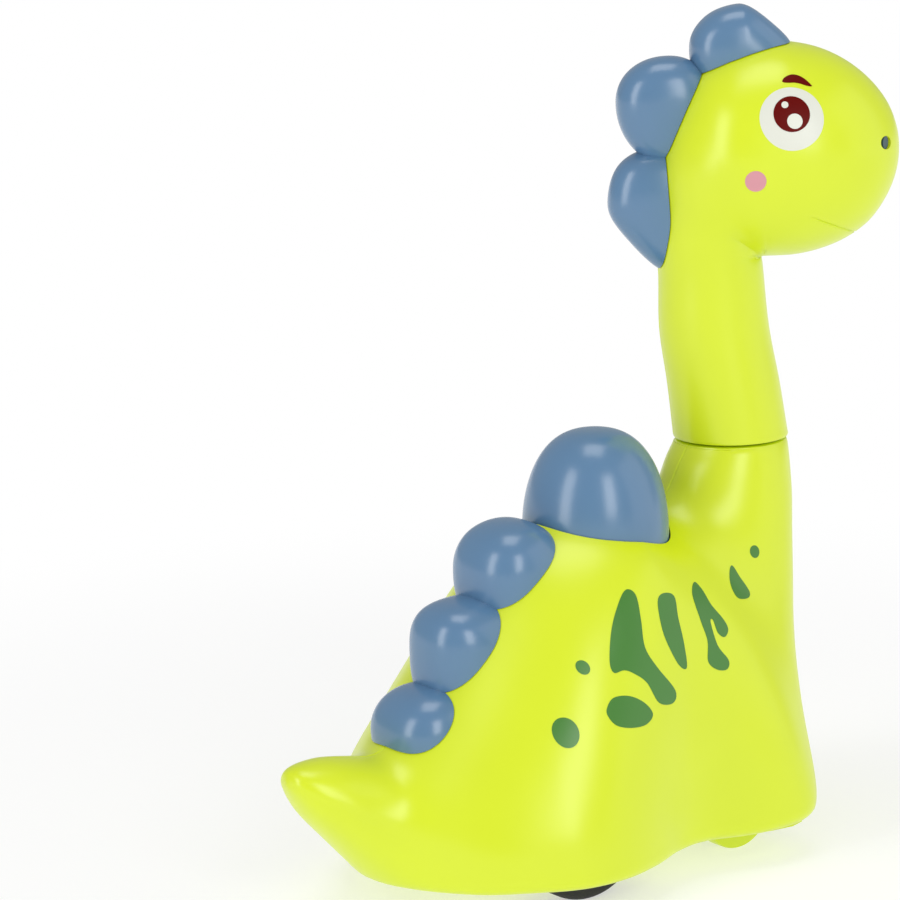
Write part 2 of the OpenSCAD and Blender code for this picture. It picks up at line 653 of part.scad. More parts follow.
// Gear train
module rack_pinion() {
    color("White") difference() {
        gear(clutch_at, teeth_small, 0, -bar_half, bar_half + 0.7);
        rod(clutch_at, spindle_r + run_fit, -20, 20);
    }
}
module clutch_gear() {
    color("Gold") difference() {
        gear(clutch_at, teeth_clutch, clutch_turn, 5, 8);
        rod(clutch_at, spindle_r + run_fit, -20, 20);
    }
}
module middle_gear() {
    color("White") difference() {
        union() {
            gear(middle_at, teeth_small, middle_small_turn, 4.6, 8.4);
            rod(middle_at, 3.4, -5, 5);
            gear(middle_at, teeth_middle, middle_big_turn, -4, -1);
        }
        rod(middle_at, spindle_r + run_fit, -20, 20);
    }
}
module flywheel() {
    color("DimGray") difference() {
        rod(middle_at, 11.2, -9.4, -5 - seat_gap);
        rod(middle_at, spindle_r + run_fit, -20, 20);
    }
}
module drive_axle() { color("Silver") rod(axle_at, axle_r, -rear_track - 3, rear_track + 3); }
module axle_pinion() {
    color("White") difference() {
        gear(axle_at, teeth_small, axle_turn, -4.5, -0.5);
        rod(axle_at, axle_r + seat_gap / 2, -20, 20);
    }
}

module hub(s) {
    translate([rear_x, s * rear_track, rear_r]) rotate([s * -90, 0, 0]) difference() {
        union() {
            translate([0, 0, -tyre_w / 2 + 0.6]) cylinder(r = hub_r, h = 1.8);
            translate([0, 0, -tyre_w / 2 + 0.6]) cylinder(r = 3.2, h = tyre_w - 1.2);
            difference() {
                translate([0, 0, -tyre_w / 2 + 0.6]) cylinder(r = hub_r, h = tyre_w - 1.2);
                translate([0, 0, -tyre_w]) cylinder(r = hub_r - 1.6, h = 2 * tyre_w);
            }
            for (k = [0 : 3]) rotate(90 * k)
                translate([2, -0.6, -tyre_w / 2 + 0.6]) cube([hub_r - 3, 1.2, tyre_w - 2]);
        }
        translate([0, 0, -20]) cylinder(r = axle_r + seat_gap / 2, h = 40);
    }
}
module tyre(s) {
    translate([rear_x, s * rear_track, rear_r]) rotate([90, 0, 0]) rotate_extrude() {
        translate([hub_r + seat_gap / 2, -tyre_w / 2]) square([rear_r - 1.5 - hub_r, tyre_w]);
        translate([hub_r + 0.5, -tyre_w / 2 + 1.5]) square([rear_r - hub_r - 0.5, tyre_w - 3]);
        for (w = [-1, 1]) translate([rear_r - 1.5, w * (tyre_w / 2 - 1.5)]) circle(1.5);
    }
}
module rear_hub_left() { color("Honeydew") hub(1); }
module rear_hub_right() { color("Honeydew") hub(-1); }
module rear_tyre_left() { color("DimGray") tyre(1); }
module rear_tyre_right() { color("DimGray") tyre(-1); }

module front_roller() {
    at = [front_x, front_r];
    color("YellowGreen") {
        rod(at, roller_axle_r, -front_track - 5, front_track + 5);
        for (s = [-1, 1]) rod(at, front_r, s * front_track - disc_w / 2, s * front_track + disc_w / 2);
    }
}

// Head, turned about the neck's axis
module head_place() {
    translate([neck_x, 0, 0]) rotate([0, 0, head_turn]) children();
}
nostril_at = [14, 0];
nostril_reach = snout - 16.3;
module nostril_axis() {
    translate([nostril_at[0], nostril_at[1], nostril_z]) rotate([0, 90, nostril_way]) children();
}
flange_z = collar_z + collar_h;
head_pegs = [head_rings[16], head_rings[21]];
module head_half_shell() {
    difference() {
        union() {
            half_shell(head_rings, solid_snout);
            intersection() {
                translate([0, 0, collar_z]) cylinder(r = collar_r - 0.8, h = collar_h);
                translate([-40, 0, collar_z - 5]) cube([80, 40, 20]);
            }
        }
        translate([0, 0, collar_z - 5]) cylinder(r = bearing_r + seat_gap, h = 20);
        nostril_axis() cylinder(r = nostril_r, h = 40);
        for (s = head_pegs) on_section(s, 0)
            translate([0, 0, -2 * peg_in]) cylinder(r = peg_r + seat_gap, h = 3 * peg_in);
    }
}
module head_shell_left() { color("YellowGreen") head_place() head_half_shell(); }
module head_shell_right() { color("YellowGreen") head_place() mirror([0, 1, 0]) head_half_shell(); }
module liner() { nostril_axis() translate([0, 0, nostril_reach]) cylinder(r = nostril_r - seat_gap, h = 1); }
module nostril_liner_left() { color("SlateGray") head_place() liner(); }
module nostril_liner_right() { color("SlateGray") head_place() mirror([0, 1, 0]) liner(); }

module head_crest() {
    half = 0.363 * head_half;
    color("SteelBlue") head_place() {
        difference() {
            union() {
                lobe([0.062 * head_h, on_head(0.041)], head_h * [0.236, 0.231, 0.206, 0.189], half,
                    [1.32, 2, 2.6, 2]);
                lobe([-0.268 * head_h, on_head(0.266)], head_h * [0.197, 0.242, 0.206, 0.29], half,
                    [2.2, 2.1, 2, 2]);
                lobe([-0.272 * head_h, on_head(0.723)], head_h * [0.193, 0.283, 0.253, 0.326], 0.97 * half,
                    [2, 2.4, 1.38, 2]);
                web([for (k = [15 : 22]) head_rings[k]], 0);
            }
            full_solid([for (k = [10 : 28]) head_rings[k]], -seat_gap);
        }
        for (s = head_pegs) on_section(s, 0)
            translate([0, 0, -peg_in]) cylinder(r = peg_r, h = peg_in + peg_out);
    }
}

module neck_spigot() {
    color("WhiteSmoke") head_place() {
        translate([0, 0, neck_z - bearing_h - 3])
            cylinder(r = bearing_r, h = flange_z + 2 - neck_z + bearing_h + 3);
        translate([0, 0, flange_z + seat_gap]) cylinder(r = bearing_r + 1.4, h = 2);
        translate([0, 0, neck_z - bearing_h - 3]) cylinder(r = bearing_r + 1.6, h = 3 - free_gap);
    }
}

base_plate();
body_shell_left();
body_shell_right();
back_crest();
gear_frame_left();
gear_frame_right();
guide_bridge();
clutch_spindle();
middle_spindle();
press_button();
button_plunger();
return_spring();
rack_pinion();
clutch_gear();
middle_gear();
flywheel();
drive_axle();
axle_pinion();
rear_hub_left();
rear_hub_right();
rear_tyre_left();
rear_tyre_right();
front_roller();
head_shell_left();
head_shell_right();
head_crest();
neck_spigot();
nostril_liner_left();
nostril_liner_right();
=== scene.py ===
import math

import bmesh
import bpy
from mathutils import Matrix, Vector
from mathutils.bvhtree import BVHTree


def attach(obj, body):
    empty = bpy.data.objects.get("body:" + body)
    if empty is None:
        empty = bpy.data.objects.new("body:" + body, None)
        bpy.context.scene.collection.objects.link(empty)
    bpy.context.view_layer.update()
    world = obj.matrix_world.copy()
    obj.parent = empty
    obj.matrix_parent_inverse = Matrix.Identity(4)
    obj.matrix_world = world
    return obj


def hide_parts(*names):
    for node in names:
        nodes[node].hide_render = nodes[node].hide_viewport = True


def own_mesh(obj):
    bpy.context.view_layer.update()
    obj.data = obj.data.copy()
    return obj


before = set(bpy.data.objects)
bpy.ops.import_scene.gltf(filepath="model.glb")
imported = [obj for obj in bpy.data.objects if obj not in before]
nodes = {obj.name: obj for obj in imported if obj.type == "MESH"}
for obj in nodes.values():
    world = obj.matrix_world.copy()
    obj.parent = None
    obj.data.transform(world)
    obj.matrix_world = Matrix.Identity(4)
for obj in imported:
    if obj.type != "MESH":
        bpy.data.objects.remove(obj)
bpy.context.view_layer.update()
print("frame loaded:", len(nodes), "nodes")

# meshes are shaped in millimetres and scaled to metres when they become pieces
toMetres = 0.001
mergeDist = 1e-4  # points closer than this become one
neckPlace = {"x": 41.6, "turn": -30.0}  # the head is stored turned, as photographed
headTurn = (Matrix.Translation((neckPlace["x"], 0, 0))
            @ Matrix.Rotation(math.radians(neckPlace["turn"]), 4, "Z"))

# materials
satinRange = (0.93, 1.07)  # how far a finish's roughness wanders, as a share of it
grainDepth = 0.0002  # metres


def newSocket(group, name, direction, kind, value=None):
    socket = group.interface.new_socket(name=name, in_out=direction, socket_type=kind)
    if value is not None:
        socket.default_value = value


def buildMouldedFinish():  # slow colour drift, satin patches and the fine skin of moulded plastic
    group = bpy.data.node_groups.new("mouldedFinish", "ShaderNodeTree")
    newSocket(group, "Color", "INPUT", "NodeSocketColor", (0.5, 0.5, 0.5, 1))
    newSocket(group, "Drift", "INPUT", "NodeSocketFloat", 0.04)
    newSocket(group, "Patch Scale", "INPUT", "NodeSocketFloat", 60.0)
    newSocket(group, "Grain Scale", "INPUT", "NodeSocketFloat", 2500.0)
    newSocket(group, "Roughness", "INPUT", "NodeSocketFloat", 0.3)
    newSocket(group, "Color", "OUTPUT", "NodeSocketColor")
    newSocket(group, "Roughness", "OUTPUT", "NodeSocketFloat")
    newSocket(group, "Height", "OUTPUT", "NodeSocketFloat")
    tree, link = group.nodes, group.links.new
    given = tree.new("NodeGroupInput")
    put = tree.new("NodeGroupOutput")
    place = tree.new("ShaderNodeTexCoord")
    patch = tree.new("ShaderNodeTexNoise")
    patch.inputs["Detail"].default_value = 3
    link(place.outputs["Object"], patch.inputs["Vector"])
    link(given.outputs["Patch Scale"], patch.inputs["Scale"])
    centred = tree.new("ShaderNodeMath")
    centred.operation = "SUBTRACT"
    centred.inputs[1].default_value = 0.5
    link(patch.outputs["Fac"], centred.inputs[0])
    swing = tree.new("ShaderNodeMath")
    swing.operation = "MULTIPLY_ADD"
    swing.inputs[2].default_value = 1.0
    link(centred.outputs[0], swing.inputs[0])
    link(given.outputs["Drift"], swing.inputs[1])
    tint = tree.new("ShaderNodeHueSaturation")
    link(given.outputs["Color"], tint.inputs["Color"])
    link(swing.outputs[0], tint.inputs["Value"])
    link(tint.outputs["Color"], put.inputs["Color"])
    satin = tree.new("ShaderNodeMapRange")
    satin.inputs["To Min"].default_value = satinRange[0]
    satin.inputs["To Max"].default_value = satinRange[1]
    link(patch.outputs["Fac"], satin.inputs["Value"])
    sheen = tree.new("ShaderNodeMath")
    sheen.operation = "MULTIPLY"
    link(given.outputs["Roughness"], sheen.inputs[0])
    link(satin.outputs["Result"], sheen.inputs[1])
    link(sheen.outputs[0], put.inputs["Roughness"])
    grain = tree.new("ShaderNodeTexNoise")
    grain.inputs["Detail"].default_value = 2
    link(place.outputs["Object"], grain.inputs["Vector"])
    link(given.outputs["Grain Scale"], grain.inputs["Scale"])
    link(grain.outputs["Fac"], put.inputs["Height"])
    return group


mouldedFinish = buildMouldedFinish()


def seen(r, g, b):  # a screen colour, 0 to 255, made linear by the sRGB curve
    return tuple(((c / 255 + 0.055) / 1.055) ** 2.4 if c > 10 else c / 255 / 12.92 for c in (r, g, b))


def moulded(name, color, roughness, drift=0.04, patch=60.0, grain=2500.0, bump=0.02, **shader):
    material = bpy.data.materials.new(name)
    material.use_nodes = True
    tree, link = material.node_tree.nodes, material.node_tree.links.new
    surface = tree["Principled BSDF"]
    finish = tree.new("ShaderNodeGroup")
    finish.node_tree = mouldedFinish
    finish.inputs["Color"].default_value = (*color, 1)
    finish.inputs["Drift"].default_value = drift
    finish.inputs["Patch Scale"].default_value = patch
    finish.inputs["Grain Scale"].default_value = grain
    finish.inputs["Roughness"].default_value = roughness
    relief = tree.new("ShaderNodeBump")
    relief.inputs["Strength"].default_value = bump
    relief.inputs["Distance"].default_value = grainDepth
    link(finish.outputs["Color"], surface.inputs["Base Color"])
    link(finish.outputs["Roughness"], surface.inputs["Roughness"])
    link(finish.outputs["Height"], relief.inputs["Height"])
    link(relief.outputs["Normal"], surface.inputs["Normal"])
    for socket, value in shader.items():
        surface.inputs[socket.replace("_", " ")].default_value = value
    return material


finishes = {
    "lime": moulded("limeShell", seen(218, 235, 20), 0.3, drift=0.04, Specular_IOR_Level=0.75),
    "slate": moulded("slateCrest", seen(88, 127, 163), 0.24, drift=0.06, Specular_IOR_Level=0.85),
    "printGreen": moulded("printGreen", seen(58, 125, 30), 0.3, drift=0.12, patch=90,
                          Specular_IOR_Level=0.75),
    "printWhite": moulded("printWhite", seen(224, 226, 214), 0.34, drift=0.02),
    "printMaroon": moulded("printMaroon", seen(100, 8, 5), 0.34, drift=0.1, patch=140,
                           Specular_IOR_Level=0.08),
    "printPink": moulded("printPink", seen(216, 150, 160), 0.36, drift=0.05),
    "rubber": moulded("blackTyre", seen(34, 34, 36), 0.62, drift=0.3, patch=220, grain=5200, bump=0.25),
    "milky": moulded("milkyHub", seen(206, 226, 204), 0.33, drift=0.05, Transmission_Weight=0.35),
    "white": moulded("whiteFrame", seen(232, 232, 228), 0.42, drift=0.04),
    "nylon": moulded("gearNylon", seen(240, 240, 234), 0.38, drift=0.04),
    "yellow": moulded("gearYellow", seen(226, 184, 52), 0.38, drift=0.06),
    "steel": moulded("steelWire", seen(190, 192, 196), 0.34, drift=0.12, patch=400, grain=6000,
                     Metallic=1.0),
    "darkSteel": moulded("flywheelSteel", seen(96, 98, 102), 0.36, drift=0.2, patch=300, grain=6000,
                         Metallic=1.0),
    # painted shade: this dark grey-green on the nostril liners stands in for the shadow deep inside the
    # nostril holes
    "nostril": moulded("nostrilPaintedShade", seen(46, 78, 84), 0.4, drift=0.1),
}
cadFinishes = {
    "lime": ["base_plate"],
    "white": ["gear_frame_left", "gear_frame_right", "guide_bridge", "button_plunger", "neck_spigot"],
    "nylon": ["rack_pinion", "middle_gear", "axle_pinion"],
    "yellow": ["clutch_gear"],
    "steel": ["clutch_spindle", "middle_spindle", "drive_axle"],
    "darkSteel": ["flywheel"],
    # the nostril liners carry the painted shade of the holes
    "nostril": ["nostril_liner_left", "nostril_liner_right"],
}
for finishName, names in cadFinishes.items():
    for n in names:
        nodes[n].data.materials.clear()
        nodes[n].data.materials.append(finishes[finishName])
print("finishes:", len(finishes))


# shared shaping
def makePiece(name, bm, materials, body, stands=(), sharp=38.0):  # a finished mesh on its body
    # cuts can leave points along an edge that only two faces share
    bmesh.ops.dissolve_verts(bm, verts=[v for v in bm.verts if len(v.link_edges) == 2])
    bmesh.ops.scale(bm, vec=(toMetres,) * 3, verts=bm.verts)
    for f in bm.faces:
        f.smooth = True
    for e in bm.edges:
        e.smooth = not (len(e.link_faces) == 2 and e.calc_face_angle() > math.radians(sharp))
    mesh = bpy.data.meshes.new(name)
    bm.to_mesh(mesh)
    bm.free()
    for m in materials:
        mesh.materials.append(finishes[m])
    obj = bpy.data.objects.new(name, mesh)
    bpy.context.scene.collection.objects.link(obj)
    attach(obj, body)
    if stands:
        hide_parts(*stands)
    return obj


def worked(bm, setUp, tools=()):  # runs modifiers on a throwaway object and gives back its mesh
    def stand(b):
        mesh = bpy.data.meshes.new("work")
        b.to_mesh(mesh)
        b.free()
        obj = bpy.data.objects.new("work", mesh)
        bpy.context.scene.collection.objects.link(obj)
        return obj

    base, blades = stand(bm), [stand(t) for t in tools]
    setUp(base, blades)
    bpy.context.view_layer.update()
    done = base.evaluated_get(bpy.context.evaluated_depsgraph_get())
    result = bmesh.new()
    result.from_mesh(done.to_mesh())
    done.to_mesh_clear()
    for obj in [base, *blades]:
        mesh = obj.data
        bpy.data.objects.remove(obj)
        bpy.data.meshes.remove(mesh)
    return result


def combined(bm, tools, operation):
    def setUp(base, blades):
        for blade in blades:
            mod = base.modifiers.new("cut", "BOOLEAN")
            mod.operation, mod.solver, mod.object = operation, "EXACT", blade

    return worked(bm, setUp, tools)


def cutAway(bm, tools):
    return combined(bm, tools, "DIFFERENCE")


def joined(bm, others):
    return combined(bm, others, "UNION")


def shared(bm, tool):
    return combined(bm, [tool], "INTERSECT")


def soften(bm, times, chosen):  # chosen shrinks its region as its second value runs from 0 to 1
    for k in range(times):
        picked = [v for v in bm.verts if chosen(v.co, k / times)]
        bmesh.ops.smooth_vert(bm, verts=picked, factor=0.5, use_axis_x=True, use_axis_y=True, use_axis_z=True)


def shrinkingBox(x, z, draw):  # a region whose rear, front, low and high ends draw in from pass to pass
    def chosen(p, t):
        inLength = x[0] + draw[0] * t < p.x < x[1] - draw[1] * t
        return inLength and z[0] + draw[2] * t < p.z < z[1] - draw[3] * t

    return chosen


def loft(bm, sections):  # extrudes a ring from section to section; gives the rings and the bands between
    ring = bmesh.ops.create_circle(bm, segments=len(sections[0]), radius=1)["verts"]
    order = {v: i for i, v in enumerate(ring)}
    edges = [e for e in bm.edges if e.verts[0] in order and e.verts[1] in order]
    for v, i in order.items():
        v.co = sections[0][i]
    bmesh.ops.contextual_create(bm, geom=edges)
    rings, bands = [ring], []
    for section in sections[1:]:
        made = bmesh.ops.extrude_edge_only(bm, edges=edges)["geom"]
        fresh = {}
        for g in made:
            if isinstance(g, bmesh.types.BMVert):
                old = next(e.other_vert(g) for e in g.link_edges if e.other_vert(g) in order)
                fresh[g] = order[old]
        edges = [g for g in made if isinstance(g, bmesh.types.BMEdge) and all(v in fresh for v in g.verts)]
        for v, i in fresh.items():
            v.co = section[i]
        rings.append(sorted(fresh, key=fresh.get))
        bands.append([g for g in made if isinstance(g, bmesh.types.BMFace)])
        order = fresh
    bmesh.ops.contextual_create(bm, geom=edges)
    bmesh.ops.recalc_face_normals(bm, faces=bm.faces)
    return rings, bands


def spun(profile, axis, centre, steps, closed=True):  # a profile turned once round an axis
    bm = bmesh.new()
    verts = [bm.verts.new(p) for p in profile]
    edges = [bm.edges.new((a, b)) for a, b in zip(verts, verts[1:])]
    if closed:
        edges.append(bm.edges.new((verts[-1], verts[0])))
    bmesh.ops.spin(bm, geom=verts + edges, cent=centre, axis=axis, angle=2 * math.pi, steps=steps,
                   use_merge=True)
    bmesh.ops.remove_doubles(bm, verts=bm.verts, dist=mergeDist)
    bmesh.ops.recalc_face_normals(bm, faces=bm.faces)
    return bm


def between(a, b, c, d, steps):  # a smooth curve from b towards c, value by value
    out = []
    for j in range(steps):
        t = j / steps
        out.append([0.5 * (2 * q + (r - p) * t + (2 * p - 5 * q + 4 * r - s) * t * t
                           + (3 * q - p - 3 * r + s) * t ** 3) for p, q, r, s in zip(a, b, c, d)])
    return out


def blendStations(rows, steps):  # a smooth run of stations through the given ones
    out, last = [], len(rows) - 1
    for k in range(last):
        out += between(rows[max(k - 1, 0)], rows[k], rows[k + 1], rows[min(k + 2, last)], steps)
    return out + [rows[-1]]


cornerShare = 7.0  # extra millimetres that a radian of bend counts for when points are spaced
fineSteps = 360  # samples of half a section before its points are spaced


def sectionRing(s, half, inset=0.0):  # points round two superellipse halves, closer where they bend
    px, pz, turn, near, far, width, wide, nearPower, farPower = s
    fine = []
    for k in range(fineSteps + 1):
        a = math.pi * k / fineSteps
        onFarSide = k <= fineSteps // 2
        p = farPower if onFarSide else nearPower
        reach = far - inset - wide if onFarSide else near + inset - wide
        fine.append((wide + reach * abs(math.cos(a)) ** (2 / p),
                     (width - inset) * abs(math.sin(a)) ** (2 / p)))
    run, way = [0.0], None
    for (r0, y0), (r1, y1) in zip(fine, fine[1:]):
        last, way = way, math.atan2(y1 - y0, r1 - r0)
        bend = 0.0 if last is None else abs((way - last + math.pi) % (2 * math.pi) - math.pi)
        run.append(run[-1] + math.hypot(r1 - r0, y1 - y0) + cornerShare * bend)
    side, k = [], 0
    for i in range(half + 1):
        want = run[-1] * i / half
        while k < len(fine) - 2 and run[k + 1] < want:
            k += 1
        t = (want - run[k]) / max(run[k + 1] - run[k], 1e-9)
        side.append(tuple(a + (b - a) * t for a, b in zip(fine[k], fine[k + 1])))
    side[0], side[-1] = (side[0][0], 0.0), (side[-1][0], 0.0)
    ca, sa = math.cos(math.radians(turn)), math.sin(math.radians(turn))
    return [Vector((px + r * ca, y, pz + r * sa)) for r, y in side + [(r, -y) for r, y in side[-2:0:-1]]]


neckCollar = {"bore": 8.1, "depth": 3.0, "round": 0.45, "ease": 0.13}


def collarRings(ring, centre, radius, up):  # the rounded end of a neck, flat down to its bore
    c = neckCollar

    def at(r, back):
        lift = Vector((0, 0, up * back))
        return [centre + Vector((p.x - centre.x, p.y - centre.y, 0)).normalized() * r + lift for p in ring]

    return [at(radius, c["round"]), at(radius - c["ease"], c["ease"]), at(radius - c["round"], 0.0),
            at(c["bore"], 0.0), at(c["bore"], c["depth"])]


def twoHalves(bm, groove, plain):  # parts a hollow skin in its middle plane and bevels the joint
    pair = []
    for side in (1, -1):
        half = bm.copy()
        bmesh.ops.bisect_plane(half, geom=half.verts[:] + half.edges[:] + half.faces[:], dist=mergeDist,
                               plane_co=(0, 0, 0), plane_no=(0, -side, 0), clear_outer=True)
        rim = [e for e in half.edges if e.is_boundary]
        outer = [e for e in rim if e.link_faces[0].material_index == 0]
        outer = [e for e in outer if not any(plain(v.co) for v in e.verts)]
        bmesh.ops.edgeloop_fill(half, edges=rim)
        bmesh.ops.recalc_face_normals(half, faces=half.faces)
        bmesh.ops.bevel(half, geom=outer, offset=groove, offset_type="OFFSET", segments=1, profile=0.5,
                        affect="EDGES", material=-1)
        for f in half.faces:
            f.material_index = 0
        pair.append(half)
    bm.free()
    return pair


def roundBar(radius, place, length, segments=96):  # solid round tool along its own z
    bm = bmesh.new()
    bmesh.ops.create_cone(bm, cap_ends=True, segments=segments, radius1=radius, radius2=radius, depth=length,
                          matrix=place @ Matrix.Translation((0, 0, length / 2)))
    return bm


def prism(outline, vec):  # a flat outline, drawn out
    bm = bmesh.new()
    face = bm.faces.new([bm.verts.new(p) for p in outline])
    top = bmesh.ops.extrude_face_region(bm, geom=[face])["geom"]
    bmesh.ops.translate(bm, vec=vec, verts=[g for g in top if isinstance(g, bmesh.types.BMVert)])
    bmesh.ops.remove_doubles(bm, verts=bm.verts, dist=mergeDist)
    bmesh.ops.recalc_face_normals(bm, faces=bm.faces)
    return bm


# body shells
bodyShell = {
    "baseZ": 5.9, "wall": 2.2, "neckX": 41.6, "neckZ": 85.5, "neckR": 12.1, "backZ": 76.2, "saddleX": 12.2,
    "saddleZ": 73.0, "rearHalf": 37.88, "waistHalf": 29.8, "frontHalf": 33.4, "tailX": -76.0, "tailZ": 30.7,
    "plateRim": 3.2, "plateRear": 65.5, "plateFront": 25.8, "plateLift": 1.2, "plateFlare": (4.6, 0.6),
    "plateTail": (0, 0.3, 1.2, 2.8, 5), "plateSpan": (6.5, 3.0), "plateCorner": ((2.5, 0.8), (0, 4.0)),
    "lastFoot": -60, "gap": 0.3, "cutBelow": 1.0, "cutOver": 2.5,
    "archHalf": 20.5, "archRise": 23.0, "archLean": 0.25, "archFoot": 4.0, "archDeep": 20.0,
    "archMargin": 4.0, "archEase": 6.0, "chestX": 30.0,
    "buttonX": 4.1, "buttonHole": 15.8, "holeLow": 50.0, "holeTall": 45.0, "holeSides": 160,
    "steps": 6, "half": 96, "innerFrom": 3, "innerTo": -5,
    "seam": 0.28, "plainTailX": -66.0, "plainBelow": (-45.0, 22.0),
    "soft": [  # passes, and the regions of the flanks, the shoulders and the tail's root
        {"times": 40, "x": (-34, 50), "z": (10, 83), "draw": (20, 4, 16, 6)},
        {"times": 120, "x": (4, 47), "z": (24, 80), "draw": (8, 8, 18, 8)},
        {"times": 40, "x": (-66, -30), "z": (8, 46), "draw": (8, 10, 14, 6)},
    ],
}


def bodyStations(b):
    nz, sx, tx, tz, bz = b["neckZ"], b["saddleX"], b["tailX"], b["tailZ"], b["baseZ"]
    rh, wh, fh = b["rearHalf"], b["waistHalf"], b["frontHalf"]
    nx, nr = b["neckX"] - sx, b["neckR"]
    flank, floor = bz + 7.7, nz - bz

    def upright(x, top, bottom, half, wide, nearPower, farPower):  # a section across the length
        return [x, nz, -90, nz - top, nz - bottom, half, nz - wide, nearPower, farPower]

    def fan(turn, near, far, half, wide, nearPower, farPower):  # a section turned about the saddle
        return [sx, nz, turn - 90, near, far, half, wide, nearPower, farPower]

    def slant(turn):
        return floor / math.cos(math.radians(turn))

    return [
        upright(tx, tz + 0.5, tz - 0.5, 0.5, tz, 2, 2),
        upright(tx + 1, tz + 2.5, tz - 2.6, 3.6, tz - 0.4, 2, 2),
        upright(tx + 4.2, tz + 3.5, tz - 7.9, 6.6, tz - 2.6, 2, 2),
        upright(tx + 10.2, tz + 3.6, tz - 14.4, 9.6, tz - 6.2, 2, 2),
        upright(tx + 18.6, tz + 2.3, bz + 1.6, 12.6, tz - 11.2, 2, 2),
        upright(sx - 65.2, tz + 1.8, bz, 16.8, flank + 2, 1.9, 4),
        upright(sx - 58, tz + 7.8, bz, 0.7 * rh, flank + 1, 1.7, 6),
        upright(sx - 50, tz + 17.8, bz, 0.85 * rh, flank + 0.5, 1.6, 6.5),
        upright(sx - 40, b["backZ"] - 14.2, bz, 0.975 * rh, flank, 1.55, 7),
        upright(sx - 30, b["backZ"] - 3.2, bz, rh, flank, 1.7, 6.5),
        upright(sx - 20, b["backZ"], bz, 0.93 * rh, flank, 2.1, 6),
        upright(sx - 10, b["saddleZ"] * 0.6 + b["backZ"] * 0.4, bz, 1.03 * wh, flank, 3.2, 5.5),
        fan(0, nz - b["saddleZ"], floor, wh, nz - flank, 2.8, 5),
        fan(10, 12.8, slant(10), fh, 73, 2.15, 5),
        fan(17, 13, slant(17), fh, 72, 1.9, 4.5),
        fan(21.8, 13.2, slant(21.8) - 1, 0.88 * fh, 68, 2, 3.4),
        fan(26, 13.5, 75, 0.76 * fh, 60, 2, 2.8),
        fan(34, 14, 62.4, 20.2, 49, 2, 2.4),
        fan(46, 14.8, 53.8, 16.6, 41, 1.95, 2.2),
        fan(60, 14.7, 47, 15.2, 34, 2, 2),
        fan(76, 15.3, 42.8, 14, 30.5, 2, 2),
        fan(90, nx - nr, nx + nr, nr, nx, 2, 2),
    ]


def plateOutline(b, rows, grow, z):  # the base opening, as in the solids
    rear, front = b["saddleX"] - b["plateRear"], b["saddleX"] + b["plateFront"]
    floor = b["neckZ"] - b["baseZ"]
    flare, power = b["plateFlare"]

    def tailHalf(x):
        return flare * max(x - rear, 0) ** power

    def footX(s):
        return s[0] - floor / math.tan(math.radians(s[2]))

    def pushed(x):  # the two ends grow along x as well
        return -grow if x < rear + 1 else grow if x > front - 1 else 0

    after, ahead = b["plateSpan"]
    edge = [(rear + d, tailHalf(rear + d)) for d in b["plateTail"]]
    edge += [(footX(s), min(s[5] - b["plateRim"], tailHalf(footX(s)))) for s in rows
             if s[2] < b["lastFoot"] and rear + after < footX(s) < front - ahead]
    edge += [(front - d, b["frontHalf"] - b["plateRim"] - inward) for d, inward in b["plateCorner"]]
    edge = [(x + pushed(x), y + grow) for x, y in edge]
    return [Vector((x, y, z)) for x, y in edge] + [Vector((x, -y, z)) for x, y in reversed(edge) if y > 1e-6]


def archFrame(b, back=0.0):  # the leaning plane of the recess between the front legs
    foot = b["saddleX"] + b["plateFront"] + b["wall"] - back
    return Matrix.Translation((foot, 0, b["baseZ"])) @ Matrix.Rotation(math.atan(b["archLean"]), 4, "Y")


def archTool(b):
    turns = [math.radians(a) for a in range(0, 181, 4)]
    outline = [(0, b["archHalf"], -b["archFoot"])]
    outline += [(0, b["archHalf"] * math.cos(a), b["archRise"] * math.sin(a)) for a in turns]
    outline += [(0, -b["archHalf"], -b["archFoot"])]
    bm = prism(outline, (b["archDeep"], 0, 0))
    bmesh.ops.transform(bm, matrix=archFrame(b), verts=bm.verts)
    return bm


def behindArch(p, b):  # the inner skin keeps a wall behind the recess
    local = archFrame(b, b["wall"]).inverted() @ p
    margin = b["archMargin"]
    inside = 1 - math.hypot(local.y / (b["archHalf"] + margin), local.z / (b["archRise"] + margin))
    if p.x < b["chestX"] or inside < 0 or local.x < 0:
        return p
    local.x *= 1 - min(1, inside * b["archEase"])
    return archFrame(b, b["wall"]) @ local


def buildBodySkin(b):
    rows = blendStations(bodyStations(b), b["steps"])
    form = bmesh.new()
    rings, _ = loft(form, [sectionRing(s, b["half"]) for s in rows])
    for spot in b["soft"]:
        soften(form, spot["times"], shrinkingBox(spot["x"], spot["z"], spot["draw"]))
    outer = [[v.co.copy() for v in ring] for ring in rings]
    collar = collarRings(outer[-1], Vector((b["neckX"], 0, b["neckZ"])), b["neckR"], -1)
    innerRows = rows[b["innerFrom"] * b["steps"]:b["innerTo"]]
    inner = [[behindArch(p, b) for p in sectionRing(s, b["half"], b["wall"])] for s in innerRows]
    skin = bmesh.new()
    _, bands = loft(skin, outer[:-1] + collar + inner[::-1])
    for band in bands[len(outer) + 2:]:
        for f in band:
            f.material_index = 1  # inner faces, until the halves are parted
    return form, skin, rows


def plainBodySeam(p):  # no groove on the tail or under it
    x, z = bodyShell["plainBelow"]
    return p.x < bodyShell["plainTailX"] or p.x < x and p.z < z


def plateTool(b, rows):
    outline = plateOutline(b, rows, b["gap"], b["baseZ"] - b["cutBelow"])
    return prism(outline, (0, 0, b["wall"] + b["plateLift"] + b["cutOver"]))


def buttonTool(b):
    place = Matrix.Translation((b["buttonX"], 0, b["holeLow"]))
    return roundBar(b["buttonHole"], place, b["holeTall"], b["holeSides"])


